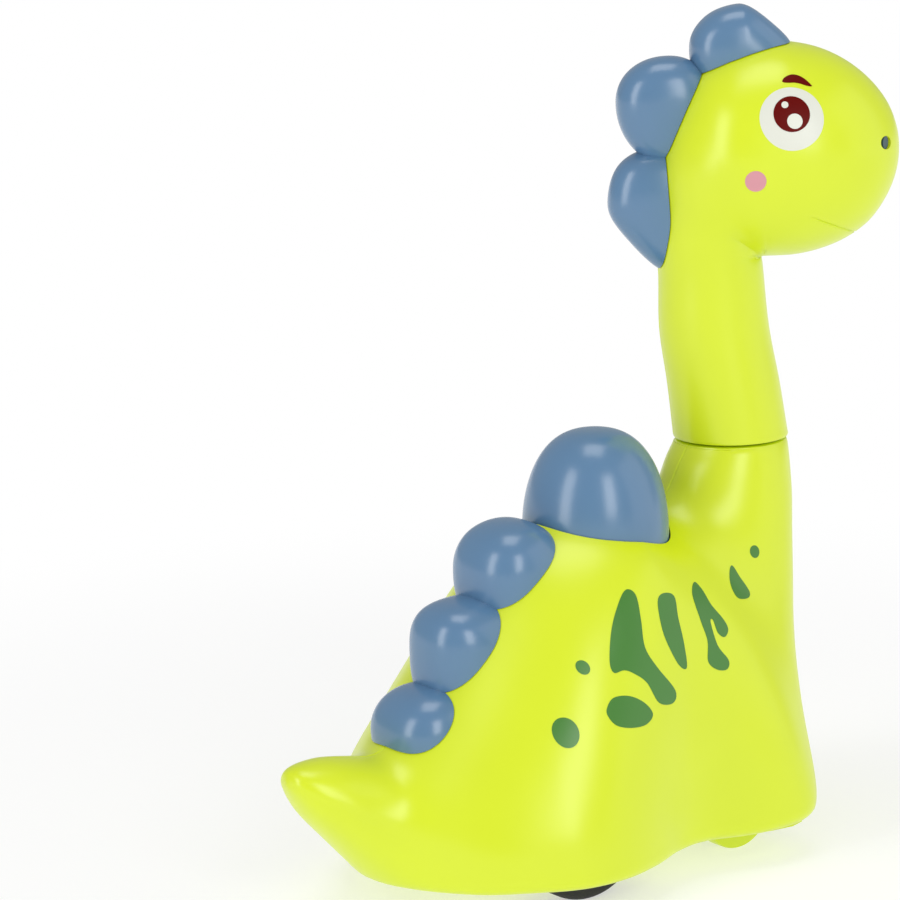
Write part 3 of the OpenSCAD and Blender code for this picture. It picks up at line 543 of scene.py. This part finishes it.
bodyForm, bodySkin, bodyRows = buildBodySkin(bodyShell)
for half, word in zip(twoHalves(bodySkin, bodyShell["seam"], plainBodySeam), ("left", "right")):
    half = cutAway(half, [plateTool(bodyShell, bodyRows), archTool(bodyShell), buttonTool(bodyShell)])
    makePiece("bodySkin" + word.title(), half, ["lime"], "casing", ["body_shell_" + word])
print("body skins done")

# head shells
headShell = {
    "top": 171.0, "throatX": 7.1, "throatZ": 124.4, "snout": 36.7, "half": 20.4, "wall": 2.2,
    "collarZ": 86.0, "collarR": 12.4, "steps": 8, "sides": 72, "innerFrom": 2, "innerTo": -3, "seam": 0.26,
    "mouthAt": (13.58, 135.45), "mouthSlope": -0.441, "mouthWide": 0.3, "mouthDeep": 0.32, "mouthFade": 3.0,
    "mouthBack": 4.0, "mouthStart": 0.2, "mouthTouch": 0.02,
    "foldEnd": (-2.6, 131.3), "foldDeep": 1.2, "foldWide": 1.5,
    "foldFrom": 0.1, "foldRise": 3.0, "foldFall": 2.2,
    "nostrilFrom": (14.0, 149.6), "nostrilWay": 35.5, "nostrilR": 1.4, "nostrilWide": 1.4,
    "drillBack": 16.3, "drillLong": 45.0, "drillSides": 40, "plainMouth": 1.5, "plainThroat": 3.0,
    "softTimes": 12, "softEarly": 0.4, "softFaceZ": 127.0, "softFaceDraw": 4.0, "softCrownZ": 130.0,
    "softNeckZ": (88.0, 119.0),
}


def headStations(h):
    mid, s, w, tx, tz = (h["top"] + h["throatZ"]) / 2, h["snout"], h["half"], h["throatX"], h["throatZ"]

    def faceOn(x, bottom, top, half):
        return [x, bottom, 90, 0, top - bottom, half, (top - bottom) * 0.5, 2, 2]

    def turned(turn, far, half, wide):
        return [tx, tz, turn, 0.5, far, half, wide * far, 2, 2]

    def level(z, front, rear, half):
        return [front, z, 180, 0, front - rear, half, (front - rear) * 0.5, 2, 2]

    return [
        faceOn(s, mid - 0.1, mid + 0.5, 0.4),
        faceOn(s - 0.7, mid - 5.2, mid + 4.9, 5.2),
        faceOn(s - 2.7, mid - 10.5, mid + 9.9, 0.48 * w),
        faceOn(s - 6.7, mid - 16.1, mid + 14.9, 0.7 * w),
        faceOn(s - 11.7, mid - 19.5, mid + 18.8, 0.86 * w),
        faceOn(s - 17.2, mid - 21.6, h["top"] - 1.9, 0.955 * w),
        faceOn(s - 23, tz + 0.6, h["top"] - 0.6, w),
        turned(90, h["top"] - tz, 0.99 * w, 0.5),
        turned(107, 43, 0.95 * w, 0.52),
        turned(121, 36.8, 0.85 * w, 0.53),
        turned(135, 30.9, 0.74 * w, 0.54),
        turned(155, 24.6, 0.63 * w, 0.53),
        level(tz - 0.6, tx, -15.3, 11.8),
        level(110, 8.4, -15.2, 11.75),
        level(98, 10.6, -13.6, 12.1),
        level(h["collarZ"], h["collarR"], -h["collarR"], h["collarR"]),
    ]


def carveMouth(bm, h, outerFaces):  # a shallow moulded line round the front of the jaw
    px, pz = h["mouthAt"]
    normal = Vector((-h["mouthSlope"], 0, 1)).normalized()
    geom = set(outerFaces)
    for f in outerFaces:
        geom.update(f.edges)
        geom.update(f.verts)
    cut = bmesh.ops.bisect_plane(bm, geom=list(geom), dist=mergeDist, plane_co=(px, 0, pz), plane_no=normal)
    line = [g for g in cut["geom_cut"] if isinstance(g, bmesh.types.BMEdge)]
    line = [e for e in line if min(v.co.x for v in e.verts) > px]
    bmesh.ops.bevel(bm, geom=line, offset=h["mouthWide"], offset_type="OFFSET", segments=2, profile=0.5,
                    affect="EDGES", material=-1)
    bm.normal_update()
    for v in bm.verts:
        offPlane = abs((v.co - Vector((px, 0, pz))).dot(normal))
        if v.co.x > px + h["mouthStart"] and offPlane < h["mouthTouch"] and len(v.link_faces) > 3:
            v.co -= v.normal * h["mouthDeep"] * min(1.0, (v.co.x - px) / h["mouthFade"])


def creaseThroat(bm, h):  # the fold where the jaw meets the neck
    start, end = Vector((h["throatX"], 0, h["throatZ"])), Vector((h["foldEnd"][0], 0, h["foldEnd"][1]))
    along = (end - start).normalized()
    normal = Vector((-along.z, 0, along.x))
    reach = (end - start).length
    bm.normal_update()
    for v in bm.verts:
        p = v.co - start
        run = p.dot(along) / reach
        if 0 < run < 1:
            fade = min(1.0, (1 - run) * h["foldFall"], max(0.0, run - h["foldFrom"]) * h["foldRise"])
            v.co -= v.normal * h["foldDeep"] * fade * math.exp(-abs(p.dot(normal)) / h["foldWide"])


def softHead(p, t):  # the face in every pass, the crown and the neck in the early ones
    h = headShell
    onFace = p.z > h["softFaceZ"] + h["softFaceDraw"] * t and p.x > 0
    onNeck = h["softNeckZ"][0] < p.z < h["softNeckZ"][1]
    return onFace or t < h["softEarly"] and (p.z > h["softCrownZ"] or onNeck)


def buildHeadSkin(h):
    rows = blendStations(headStations(h), h["steps"])
    form = bmesh.new()
    rings, _ = loft(form, [sectionRing(s, h["sides"]) for s in rows])
    soften(form, h["softTimes"], softHead)
    creaseThroat(form, h)
    outer = [[v.co.copy() for v in ring] for ring in rings]
    collar = collarRings(outer[-1], Vector((0, 0, h["collarZ"])), h["collarR"], 1)
    inner = [sectionRing(s, h["sides"], h["wall"]) for s in rows[h["innerFrom"] * h["steps"]:h["innerTo"]]]
    skin = bmesh.new()
    _, bands = loft(skin, outer[:-1] + collar + inner[::-1])
    for band in bands[len(outer) + 2:]:
        for f in band:
            f.material_index = 1  # inner faces, as in the body
    ahead = h["mouthAt"][0] - h["mouthBack"]
    carveMouth(skin, h, [f for f in skin.faces if f.material_index == 0 and f.calc_center_median().x > ahead])
    return form, skin


def nostrilPlace(h, side):
    x, z = h["nostrilFrom"]
    return (Matrix.Translation((x, 0, z)) @ Matrix.Rotation(math.radians(side * h["nostrilWay"]), 4, "Z")
            @ Matrix.Rotation(math.radians(90), 4, "Y"))


def nostrilDrill(h, side):
    place = nostrilPlace(h, side)
    broad = place @ Matrix.Diagonal((1, h["nostrilWide"], 1, 1))
    drill = roundBar(h["nostrilR"], broad, h["drillLong"], h["drillSides"])
    start = place.to_3x3() @ Vector((0, 0, h["snout"] - h["drillBack"]))
    bmesh.ops.translate(drill, vec=start, verts=drill.verts)
    return drill


def plainHeadSeam(p):  # where the mouth or the throat crosses the joint, its edge stays sharp
    h = headShell
    x, z = h["mouthAt"]
    atMouth = p.x > x and abs(p.z - z - h["mouthSlope"] * (p.x - x)) < h["plainMouth"]
    return atMouth or math.hypot(p.x - h["throatX"], p.z - h["throatZ"]) < h["plainThroat"]


headForm, headSkin = buildHeadSkin(headShell)
headTree = BVHTree.FromBMesh(headForm)
headHalves = twoHalves(headSkin, headShell["seam"], plainHeadSeam)
for half, word, side in zip(headHalves, ("left", "right"), (1, -1)):
    half = cutAway(half, [nostrilDrill(headShell, side)])
    bmesh.ops.transform(half, matrix=headTurn, verts=half.verts)
    makePiece("headSkin" + word.title(), half, ["lime"], "head", ["head_shell_" + word])
print("head skins done")

# crests: three rounded petals each, joined and trimmed to the skin
backCrest = {"rim": 2.4, "gap": 0.22, "lobes": [
    {"at": (-18.6, 65.6), "reach": (12.0, 11.2, 11.0, 14.0), "half": 11.5, "full": (1.8, 2.2, 2.4, 2)},
    {"at": (-28.7, 51.2), "reach": (11.4, 13.3, 10.7, 15.0), "half": 10.9, "full": (1.9, 2.9, 2.9, 2)},
    {"at": (-40.5, 35.7), "reach": (12.0, 11.3, 9.5, 10.7), "half": 11.5, "full": (1.9, 2.1, 2.2, 2)}]}
headCrest = {"rim": 2.4, "gap": 0.22, "lobes": [
    {"at": (2.9, 169.1), "reach": (11.0, 10.8, 9.57, 8.8), "half": 7.4, "full": (1.32, 2, 2.6, 2)},
    {"at": (-12.5, 158.6), "reach": (9.2, 11.3, 9.6, 13.5), "half": 7.4, "full": (2.2, 2.1, 2, 2)},
    {"at": (-12.7, 137.3), "reach": (9.0, 13.2, 11.8, 15.2), "half": 7.2, "full": (2, 2.4, 1.38, 2)}]}


def bowed(t, power):  # one axis of a superellipse
    return math.copysign(abs(t) ** (2 / power), t)


def quarterPower(full, turn):  # a quarter's own power in its middle, the mean of two quarters where they meet
    quarter = int(turn // 90) % 4
    t = turn / 90 - turn // 90
    other = full[(quarter + (1 if t > 0.5 else -1)) % 4]
    share = 0.5 * (2 * abs(t - 0.5)) ** 2
    return full[quarter] * (1 - share) + other * share


def petal(lobe, rim):  # a ball drawn out to its own reach ahead, behind, up and down
    bm = bmesh.new()
    bmesh.ops.create_uvsphere(bm, u_segments=96, v_segments=56, radius=1)
    front, rear, up, down = lobe["reach"]
    atX, atZ = lobe["at"]
    for v in bm.verts:
        c, s, across = v.co
        out = max(math.hypot(c, s), 1e-9)
        power = quarterPower(lobe["full"], math.degrees(math.atan2(s, c)) % 360)
        shrink = bowed(out, rim) if out > 1e-6 else 0
        v.co = (atX + (front if c > 0 else rear) * bowed(c / out, power) * shrink,
                lobe["half"] * bowed(across, rim),
                atZ + (up if s > 0 else down) * bowed(s / out, power) * shrink)
    bmesh.ops.recalc_face_normals(bm, faces=bm.faces)
    return bm


def grown(form, by):  # the same form a little larger all round
    bm = form.copy()
    bm.normal_update()
    for v in bm.verts:
        v.co += v.normal * by
    return bm


def buildCrest(c, form):
    petals = [petal(lobe, c["rim"]) for lobe in c["lobes"]]
    return cutAway(joined(petals[0], petals[1:]), [grown(form, c["gap"])])


crestSharp = 32
crest = buildCrest(backCrest, bodyForm)
makePiece("backCrestLobes", crest, ["slate"], "casing", ["back_crest"], crestSharp)
crest = buildCrest(headCrest, headForm)
bmesh.ops.transform(crest, matrix=headTurn, verts=crest.verts)
makePiece("headCrestLobes", crest, ["slate"], "head", ["head_crest"], crestSharp)
print("crests done")

# prints: thin ink films laid on the skins
flankPrint = {"lift": 0.06, "film": 0.14, "plane": 28, "marks": {
    "bigFork": [(-6.0, 63.5), (-4.3, 62.4), (-5.0, 57.7), (-5.8, 52.4), (-3.7, 48.0), (0.5, 42.5),
                (-0.7, 40.2), (-4.9, 41.2), (-7.2, 45.6), (-9.6, 47.7), (-11.8, 48.8), (-14.2, 48.6),
                (-14.3, 51.0), (-11.9, 56.5), (-8.8, 60.9)],
    "stripe": [(2.1, 61.7), (5.3, 60.7), (4.8, 56.5), (5.0, 50.8), (4.7, 46.3), (2.2, 47.8), (-0.3, 54.0),
               (0.1, 59.9)],
    "hook": [(13.5, 61.7), (15.0, 60.0), (16.0, 56.9), (18.2, 53.6), (18.7, 51.5), (17.0, 50.3), (15.4, 51.5),
             (15.0, 54.1), (14.1, 53.7), (14.5, 49.1), (16.7, 45.7), (15.8, 44.0), (13.1, 44.4), (11.0, 46.5),
             (11.9, 50.5), (11.3, 54.7), (11.2, 59.7)],
    "drop": [(27.6, 62.2), (28.7, 59.7), (30.1, 56.5), (28.8, 55.5), (25.7, 56.2), (25.0, 58.3),
             (25.9, 60.6)],
    "bean": [(-17.7, 42.3), (-15.7, 44.0), (-12.1, 43.8), (-8.8, 41.9), (-7.1, 39.3), (-9.3, 37.7),
             (-13.2, 37.7), (-16.6, 38.7), (-18.0, 40.7)]},
    "dots": [
        {"at": (34.4, 64.0), "radii": (1.2, 1.3), "tilt": -20},
        {"at": (-19.8, 50.1), "radii": (1.25, 1.35), "tilt": -20},
        {"at": (-26.8, 38.3), "radii": (2.3, 2.9), "tilt": -20}]}
facePrint = {"lift": 0.05, "film": 0.14, "rayFrom": 60, "eyeAt": (10.23, 156.3), "cheekAt": (2.37, 143.44),
             "layers": [
    {"ink": "printWhite", "at": "eyeAt", "dots": [{"at": (0.0, 0.0), "radii": (6.75, 6.75)}], "level": 1},
    {"ink": "printMaroon", "at": "eyeAt", "dots": [{"at": (0.0, 0.91), "radii": (3.84, 3.84)}], "level": 2},
    {"ink": "printWhite", "at": "eyeAt", "level": 3, "dots": [
        {"at": (-1.3, 2.92), "radii": (0.73, 0.73)}, {"at": (0.52, -0.69), "radii": (1.62, 1.62)}]},
    {"ink": "printMaroon", "at": "eyeAt", "level": 2, "marks": {"brow": [
        (-1.24, 8.1), (-0.84, 8.92), (0.18, 9.53), (1.26, 9.73), (2.48, 9.39), (3.66, 8.55), (4.7, 7.34),
        (4.83, 6.93), (3.72, 7.1), (2.49, 7.56), (1.25, 7.83), (-0.01, 7.83)]}},
    {"ink": "printPink", "at": "cheekAt", "dots": [{"at": (0.0, 0.0), "radii": (2.23, 2.23)}], "level": 1}]}
stampReach = {"low": -20, "long": 38}  # a stamp reaches this far through a skin
inkTouch = {"near": 0.02, "facing": 0.5}  # which faces of a stamped skin count as its outside


def rounded(points, steps=6):  # a closed smooth outline through the points
    n, out = len(points), []
    for k in range(n):
        out += between(points[k - 1], points[k], points[(k + 1) % n], points[(k + 2) % n], steps)
    return out


def dot(d, steps=72):  # an oval outline
    tilt = Matrix.Rotation(math.radians(d.get("tilt", 0)), 2)
    turns = [2 * math.pi * k / steps for k in range(steps)]
    long, tall = d["radii"]
    return [Vector(d["at"]) + tilt @ Vector((long * math.cos(t), tall * math.sin(t))) for t in turns]


def inkFilm(art, place, form, lift, film):  # outlines in a placed plane, pressed onto a skin as a thin film
    skin = grown(form, lift)
    tree = BVHTree.FromBMesh(skin)
    stamp = bmesh.new()
    outlines = [rounded(m) for m in art.get("marks", {}).values()]
    outlines += [dot(d) for d in art.get("dots", ())]
    for outline in outlines:
        face = stamp.faces.new([stamp.verts.new((a, b, stampReach["low"])) for a, b in outline])
        top = bmesh.ops.extrude_face_region(stamp, geom=[face])["geom"]
        moved = [g for g in top if isinstance(g, bmesh.types.BMVert)]
        bmesh.ops.translate(stamp, vec=(0, 0, stampReach["long"]), verts=moved)
    bmesh.ops.transform(stamp, matrix=place, verts=stamp.verts)
    bmesh.ops.recalc_face_normals(stamp, faces=stamp.faces)
    bm = shared(skin, stamp)
    outward = place.to_3x3() @ Vector((0, 0, 1))

    def onSkin(f):
        near = tree.find_nearest(f.calc_center_median())
        facing = f.normal.dot(near[1]) > inkTouch["facing"]
        return near[3] < inkTouch["near"] and facing and f.normal.dot(outward) > 0

    bmesh.ops.delete(bm, geom=[f for f in bm.faces if not onSkin(f)], context="FACES")
    bmesh.ops.remove_doubles(bm, verts=bm.verts, dist=mergeDist)
    bmesh.ops.solidify(bm, geom=bm.faces[:], thickness=film)
    bmesh.ops.recalc_face_normals(bm, faces=bm.faces)
    return bm


def addTo(bm, other, index):  # puts one mesh into another, with a material slot of its own
    for f in other.faces:
        f.material_index = index
    mesh = bpy.data.meshes.new("work")
    other.to_mesh(mesh)
    other.free()
    bm.from_mesh(mesh)
    bpy.data.meshes.remove(mesh)


inks = ["printWhite", "printMaroon", "printPink"]
for side, word in ((1, "Left"), (-1, "Right")):
    flat = Matrix(((1, 0, 0), (0, 0, side), (0, 1, 0))).to_4x4()
    flat.translation = (0, side * flankPrint["plane"], 0)
    bm = inkFilm(flankPrint, flat, bodyForm, flankPrint["lift"], flankPrint["film"])
    makePiece("flankPrint" + word, bm, ["printGreen"], "casing")
    bm = bmesh.new()
    for layer in facePrint["layers"]:
        x, z = facePrint[layer["at"]]
        outside = Vector((x, side * facePrint["rayFrom"], z))
        spot, normal, _, _ = headTree.ray_cast(outside, Vector((0, -side, 0)))
        across = (Vector((1, 0, 0)) - normal * normal.x).normalized()
        up = (Vector((0, 0, 1)) - normal * normal.z - across * across.z).normalized()
        place = Matrix((across, up, normal)).transposed().to_4x4()
        place.translation = spot
        film = inkFilm(layer, place, headForm, facePrint["lift"] * layer["level"], facePrint["film"])
        addTo(bm, film, inks.index(layer["ink"]))
    bmesh.ops.transform(bm, matrix=headTurn, verts=bm.verts)
    makePiece("facePrint" + word, bm, inks, "head")
print("prints done")

# press button and its spring
button = {
    "x": 4.1, "r": 15.5, "top": 92.6, "skirt": 65.0, "shoulder": 71.0, "wall": 2.0, "full": 0.77,
    "edge": 0.4, "sides": 128,
}
spring = {
    "x": 4.1, "r": 8.2, "wire": 0.6, "turns": 6, "low": 54.65, "high": 79.35, "perTurn": 32, "sides": 12,
}


def dome(r, top, b):
    points = []
    for degrees in range(0, 91, 3):
        a = math.radians(degrees)
        out = r * max(math.cos(a), 0) ** b["full"]
        points.append((b["x"] + out, 0, b["shoulder"] + (top - b["shoulder"]) * math.sin(a)))
    return points


def buttonProfile(b):
    rim = b["x"] + b["r"]
    profile = [(rim, 0, b["skirt"] + b["edge"])]
    profile += dome(b["r"], b["top"], b)
    profile += dome(b["r"] - b["wall"], b["top"] - b["wall"], b)[::-1]
    return profile + [(rim - b["wall"], 0, b["skirt"]), (rim - b["edge"], 0, b["skirt"])]


domeBm = spun(buttonProfile(button), (0, 0, 1), (button["x"], 0, 0), button["sides"])
makePiece("buttonDome", domeBm, ["slate"], "button", ["press_button"])

coil = bmesh.new()
wirePlace = (Matrix.Translation((spring["x"] + spring["r"], 0, spring["low"]))
             @ Matrix.Rotation(math.radians(90), 4, "X"))
made = bmesh.ops.create_circle(coil, segments=spring["sides"], radius=spring["wire"], matrix=wirePlace)
ring = made["verts"]
steps = spring["turns"] * spring["perTurn"]
ringEdges = list({e for v in ring for e in v.link_edges})
bmesh.ops.spin(coil, geom=ring + ringEdges, cent=(spring["x"], 0, 0), axis=(0, 0, 1),
               angle=2 * math.pi * spring["turns"], steps=steps,
               dvec=(0, 0, (spring["high"] - spring["low"]) / steps))
bmesh.ops.holes_fill(coil, edges=[e for e in coil.edges if e.is_boundary], sides=0)
bmesh.ops.recalc_face_normals(coil, faces=coil.faces)
springPiece = makePiece("returnSpringCoil", coil, ["steel"], "casing", ["return_spring"])
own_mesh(springPiece)
print("button and spring done")

# rear wheels
wheel = {
    "x": -17.8, "r": 15.6, "track": 21.0, "sides": 96,
    "tyreW": 7.0, "shoulder": 1.6, "fit": 0.03, "grooveHalf": (0.45, 0.2), "grooveDeep": 0.35,
    "hubR": 11.6, "axleR": 1.54, "hubInset": 0.6, "hubEdge": 0.25, "rimWall": 1.6, "web": 1.8,
    "bossR": 3.2, "bossFoot": 0.4, "bossEdge": 0.3,
    "ribs": 4, "ribSize": (7.4, 3.4, 1.2), "ribOut": 6.6, "ribShift": 0.2, "ribEdge": 0.2,
}


def tyreProfile(w):  # radius and offset, with a thin groove round the middle of the tread
    half, r, corner = w["tyreW"] / 2, w["r"], w["shoulder"]
    turns = [math.radians(a) for a in range(0, 91, 15)]
    outer = [(w["hubR"] + w["fit"], half)]
    outer += [(r - corner + corner * math.sin(a), half - corner + corner * math.cos(a)) for a in turns]
    outer += [(r, w["grooveHalf"][0]), (r - w["grooveDeep"], w["grooveHalf"][1])]
    return outer + [(q, -y) for q, y in reversed(outer)]


def hubProfile(w):  # radius and offset: rim, web and boss
    half, rim, edge = w["tyreW"] / 2 - w["hubInset"], w["hubR"], w["hubEdge"]
    inner, web = rim - w["rimWall"], w["web"] - half
    bore, boss, foot, top = w["axleR"], w["bossR"], w["bossFoot"], w["bossEdge"]
    return [(bore, -half), (rim - edge, -half), (rim, edge - half), (rim, half - edge), (rim - edge, half),
            (inner + edge, half), (inner, half - edge), (inner, web), (boss + foot, web), (boss, web + foot),
            (boss, half - top), (boss - top, half), (bore, half)]


def addRib(hub, w, k, centre, side):  # a bar from the boss to the rim
    rib = bmesh.ops.create_cube(hub, size=1)["verts"]
    turn = Matrix.Rotation(2 * math.pi * k / w["ribs"], 3, "Y")
    bmesh.ops.scale(hub, vec=w["ribSize"], verts=rib)
    bmesh.ops.translate(hub, vec=(w["ribOut"], side * w["ribShift"], 0), verts=rib)
    bmesh.ops.rotate(hub, cent=(0, 0, 0), matrix=turn, verts=rib)
    bmesh.ops.translate(hub, vec=centre, verts=rib)
    edges = list({e for v in rib for e in v.link_edges})
    bmesh.ops.bevel(hub, geom=edges, offset=w["ribEdge"], offset_type="OFFSET", segments=2, profile=0.5,
                    affect="EDGES", material=-1)


for side, word in ((1, "left"), (-1, "right")):
    centre = Vector((wheel["x"], side * wheel["track"], wheel["r"]))
    section = [centre + Vector((q, y, 0)) for q, y in tyreProfile(wheel)]
    rubber = spun(section, (0, 1, 0), centre, wheel["sides"])
    makePiece("tyre" + word.title(), rubber, ["rubber"], "rear_wheels", ["rear_tyre_" + word])
    section = [centre + Vector((q, side * y, 0)) for q, y in hubProfile(wheel)]
    hub = spun(section, (0, 1, 0), centre, wheel["sides"])
    for k in range(wheel["ribs"]):
        addRib(hub, wheel, k, centre, side)
    makePiece("hub" + word.title(), hub, ["milky"], "rear_wheels", ["rear_hub_" + word])

# front roller, one moulding with two discs
roller = {
    "x": 27.8, "r": 8.9, "track": 15.6, "sides": 80, "discW": 4.2, "shaftR": 3.0, "stub": 5.0,
    "edge": 0.5, "ease": 0.15, "fillet": 0.3,
}


def rollerProfile(w):  # radius and offset, from one stub end to the other
    a, b = w["track"] - w["discW"] / 2, w["track"] + w["discW"] / 2
    r, shaft, end = w["r"], w["shaftR"], w["track"] + w["stub"]
    edge, ease, fillet = w["edge"], w["ease"], w["fillet"]
    right = [(shaft, a - fillet), (shaft + fillet, a), (r - edge, a), (r - ease, a + ease), (r, a + edge),
             (r, b - edge), (r - ease, b - ease), (r - edge, b), (shaft, b), (shaft, end - edge),
             (shaft - edge, end), (0, end)]
    return [(q, -y) for q, y in reversed(right)] + right


centre = Vector((roller["x"], 0, roller["r"]))
section = [centre + Vector((q, y, 0)) for q, y in rollerProfile(roller)]
rollerBm = spun(section, (0, 1, 0), centre, roller["sides"], closed=False)
makePiece("frontRollerMoulding", rollerBm, ["lime"], "roller", ["front_roller"])
print("wheels done")
bodyForm.free()
headForm.free()

# floor, light and camera
stage = {
    "floor": 12.0, "white": 0.55, "matt": 0.9, "lift": 0.52, "near": 0.14, "far": 0.34, "world": 0.45,
    "aim": (0, 0, 0.08),
}
floorBm = bmesh.new()
bmesh.ops.create_grid(floorBm, x_segments=2, y_segments=2, size=stage["floor"])
floorMesh = bpy.data.meshes.new("studioFloor")
floorBm.to_mesh(floorMesh)
floorBm.free()
floor = bpy.data.objects.new("studioFloor", floorMesh)
bpy.context.scene.collection.objects.link(floor)
paper = bpy.data.materials.new("floorPaper")
paper.use_nodes = True
tree, link = paper.node_tree.nodes, paper.node_tree.links.new
sheet, out = tree["Principled BSDF"], tree["Material Output"]
sheet.inputs["Base Color"].default_value = (stage["white"],) * 3 + (1,)
sheet.inputs["Roughness"].default_value = stage["matt"]
place, path = tree.new("ShaderNodeTexCoord"), tree.new("ShaderNodeLightPath")
distance = tree.new("ShaderNodeVectorMath")
distance.operation = "LENGTH"
link(place.outputs["Object"], distance.inputs[0])
away = tree.new("ShaderNodeMapRange")  # white paper far from the toy, a shadow catcher near it
away.interpolation_type = "SMOOTHSTEP"
away.inputs["From Min"].default_value = stage["near"]
away.inputs["From Max"].default_value = stage["far"]
link(distance.outputs["Value"], away.inputs["Value"])
glow = tree.new("ShaderNodeEmission")
blend, lift = tree.new("ShaderNodeMixShader"), tree.new("ShaderNodeAddShader")
faint = tree.new("ShaderNodeEmission")
faint.inputs["Strength"].default_value = stage["lift"]
seenOnly = tree.new("ShaderNodeMixShader")
watched = tree.new("ShaderNodeMath")
watched.operation = "MAXIMUM"
mirrored = tree.new("ShaderNodeMath")
mirrored.operation = "MAXIMUM"
link(path.outputs["Is Glossy Ray"], mirrored.inputs[0])
link(path.outputs["Is Transmission Ray"], mirrored.inputs[1])
link(path.outputs["Is Camera Ray"], watched.inputs[0])
link(mirrored.outputs[0], watched.inputs[1])
link(sheet.outputs["BSDF"], lift.inputs[0])
link(faint.outputs["Emission"], lift.inputs[1])
link(away.outputs["Result"], blend.inputs["Fac"])
link(lift.outputs["Shader"], blend.inputs[1])
link(glow.outputs["Emission"], blend.inputs[2])
link(watched.outputs[0], seenOnly.inputs["Fac"])
link(lift.outputs["Shader"], seenOnly.inputs[1])
link(blend.outputs["Shader"], seenOnly.inputs[2])
link(seenOnly.outputs["Shader"], out.inputs["Surface"])
floorMesh.materials.append(paper)

world = bpy.data.worlds.new("studioWorld")
bpy.context.scene.world = world
world.use_nodes = True
tree, link = world.node_tree.nodes, world.node_tree.links.new
tree.clear()
surroundings, out = tree.new("ShaderNodeBackground"), tree.new("ShaderNodeOutputWorld")
surroundings.inputs["Color"].default_value = (1, 1, 1, 1)
surroundings.inputs["Strength"].default_value = stage["world"]
link(surroundings.outputs["Background"], out.inputs["Surface"])

lamps = {
    "keyLeft": {"at": (-1.25, -0.05, 0.55), "size": (0.42, 1.1), "watts": 4.8},
    "keyMiddle": {"at": (-0.26, -1.26, 0.6), "size": (0.42, 0.9), "watts": 4.4},
    "keyRight": {"at": (0.9, -0.85, 0.6), "size": (1.2, 1.2), "watts": 2.8},
    "topSoft": {"at": (-0.05, -0.05, 1.3), "size": (0.6, 0.6), "watts": 2.8},
}
for name, lamp in lamps.items():
    light = bpy.data.lights.new(name, "AREA")
    light.shape = "RECTANGLE"
    light.size, light.size_y = lamp["size"]
    light.energy = lamp["watts"]
    holder = bpy.data.objects.new(name, light)
    holder.location = lamp["at"]
    aim = Vector(stage["aim"]) - Vector(lamp["at"])
    holder.rotation_euler = aim.to_track_quat("-Z", "Y").to_euler()
    bpy.context.scene.collection.objects.link(holder)

photoCamera = {
    "at": (-0.47853, -0.61444, 0.25031), "right": (0.80643, -0.5908, -0.0251),
    "up": (0.13963, 0.149, 0.97893), "back": (-0.57461, -0.79294, 0.20266),
    "lens": 151.82, "sensor": 36.0, "clip": 0.01,
}
cameraData = bpy.data.cameras.new("photoCamera")
cameraData.lens = photoCamera["lens"]
cameraData.sensor_width = photoCamera["sensor"]
cameraData.clip_start = photoCamera["clip"]
camera = bpy.data.objects.new("photoCamera", cameraData)
bpy.context.scene.collection.objects.link(camera)
turn = Matrix((photoCamera["right"], photoCamera["up"], photoCamera["back"])).transposed()
camera.matrix_world = Matrix.Translation(photoCamera["at"]) @ turn.to_4x4()
bpy.context.scene.camera = camera
bpy.context.scene.view_settings.view_transform = "Standard"
print("stage done")
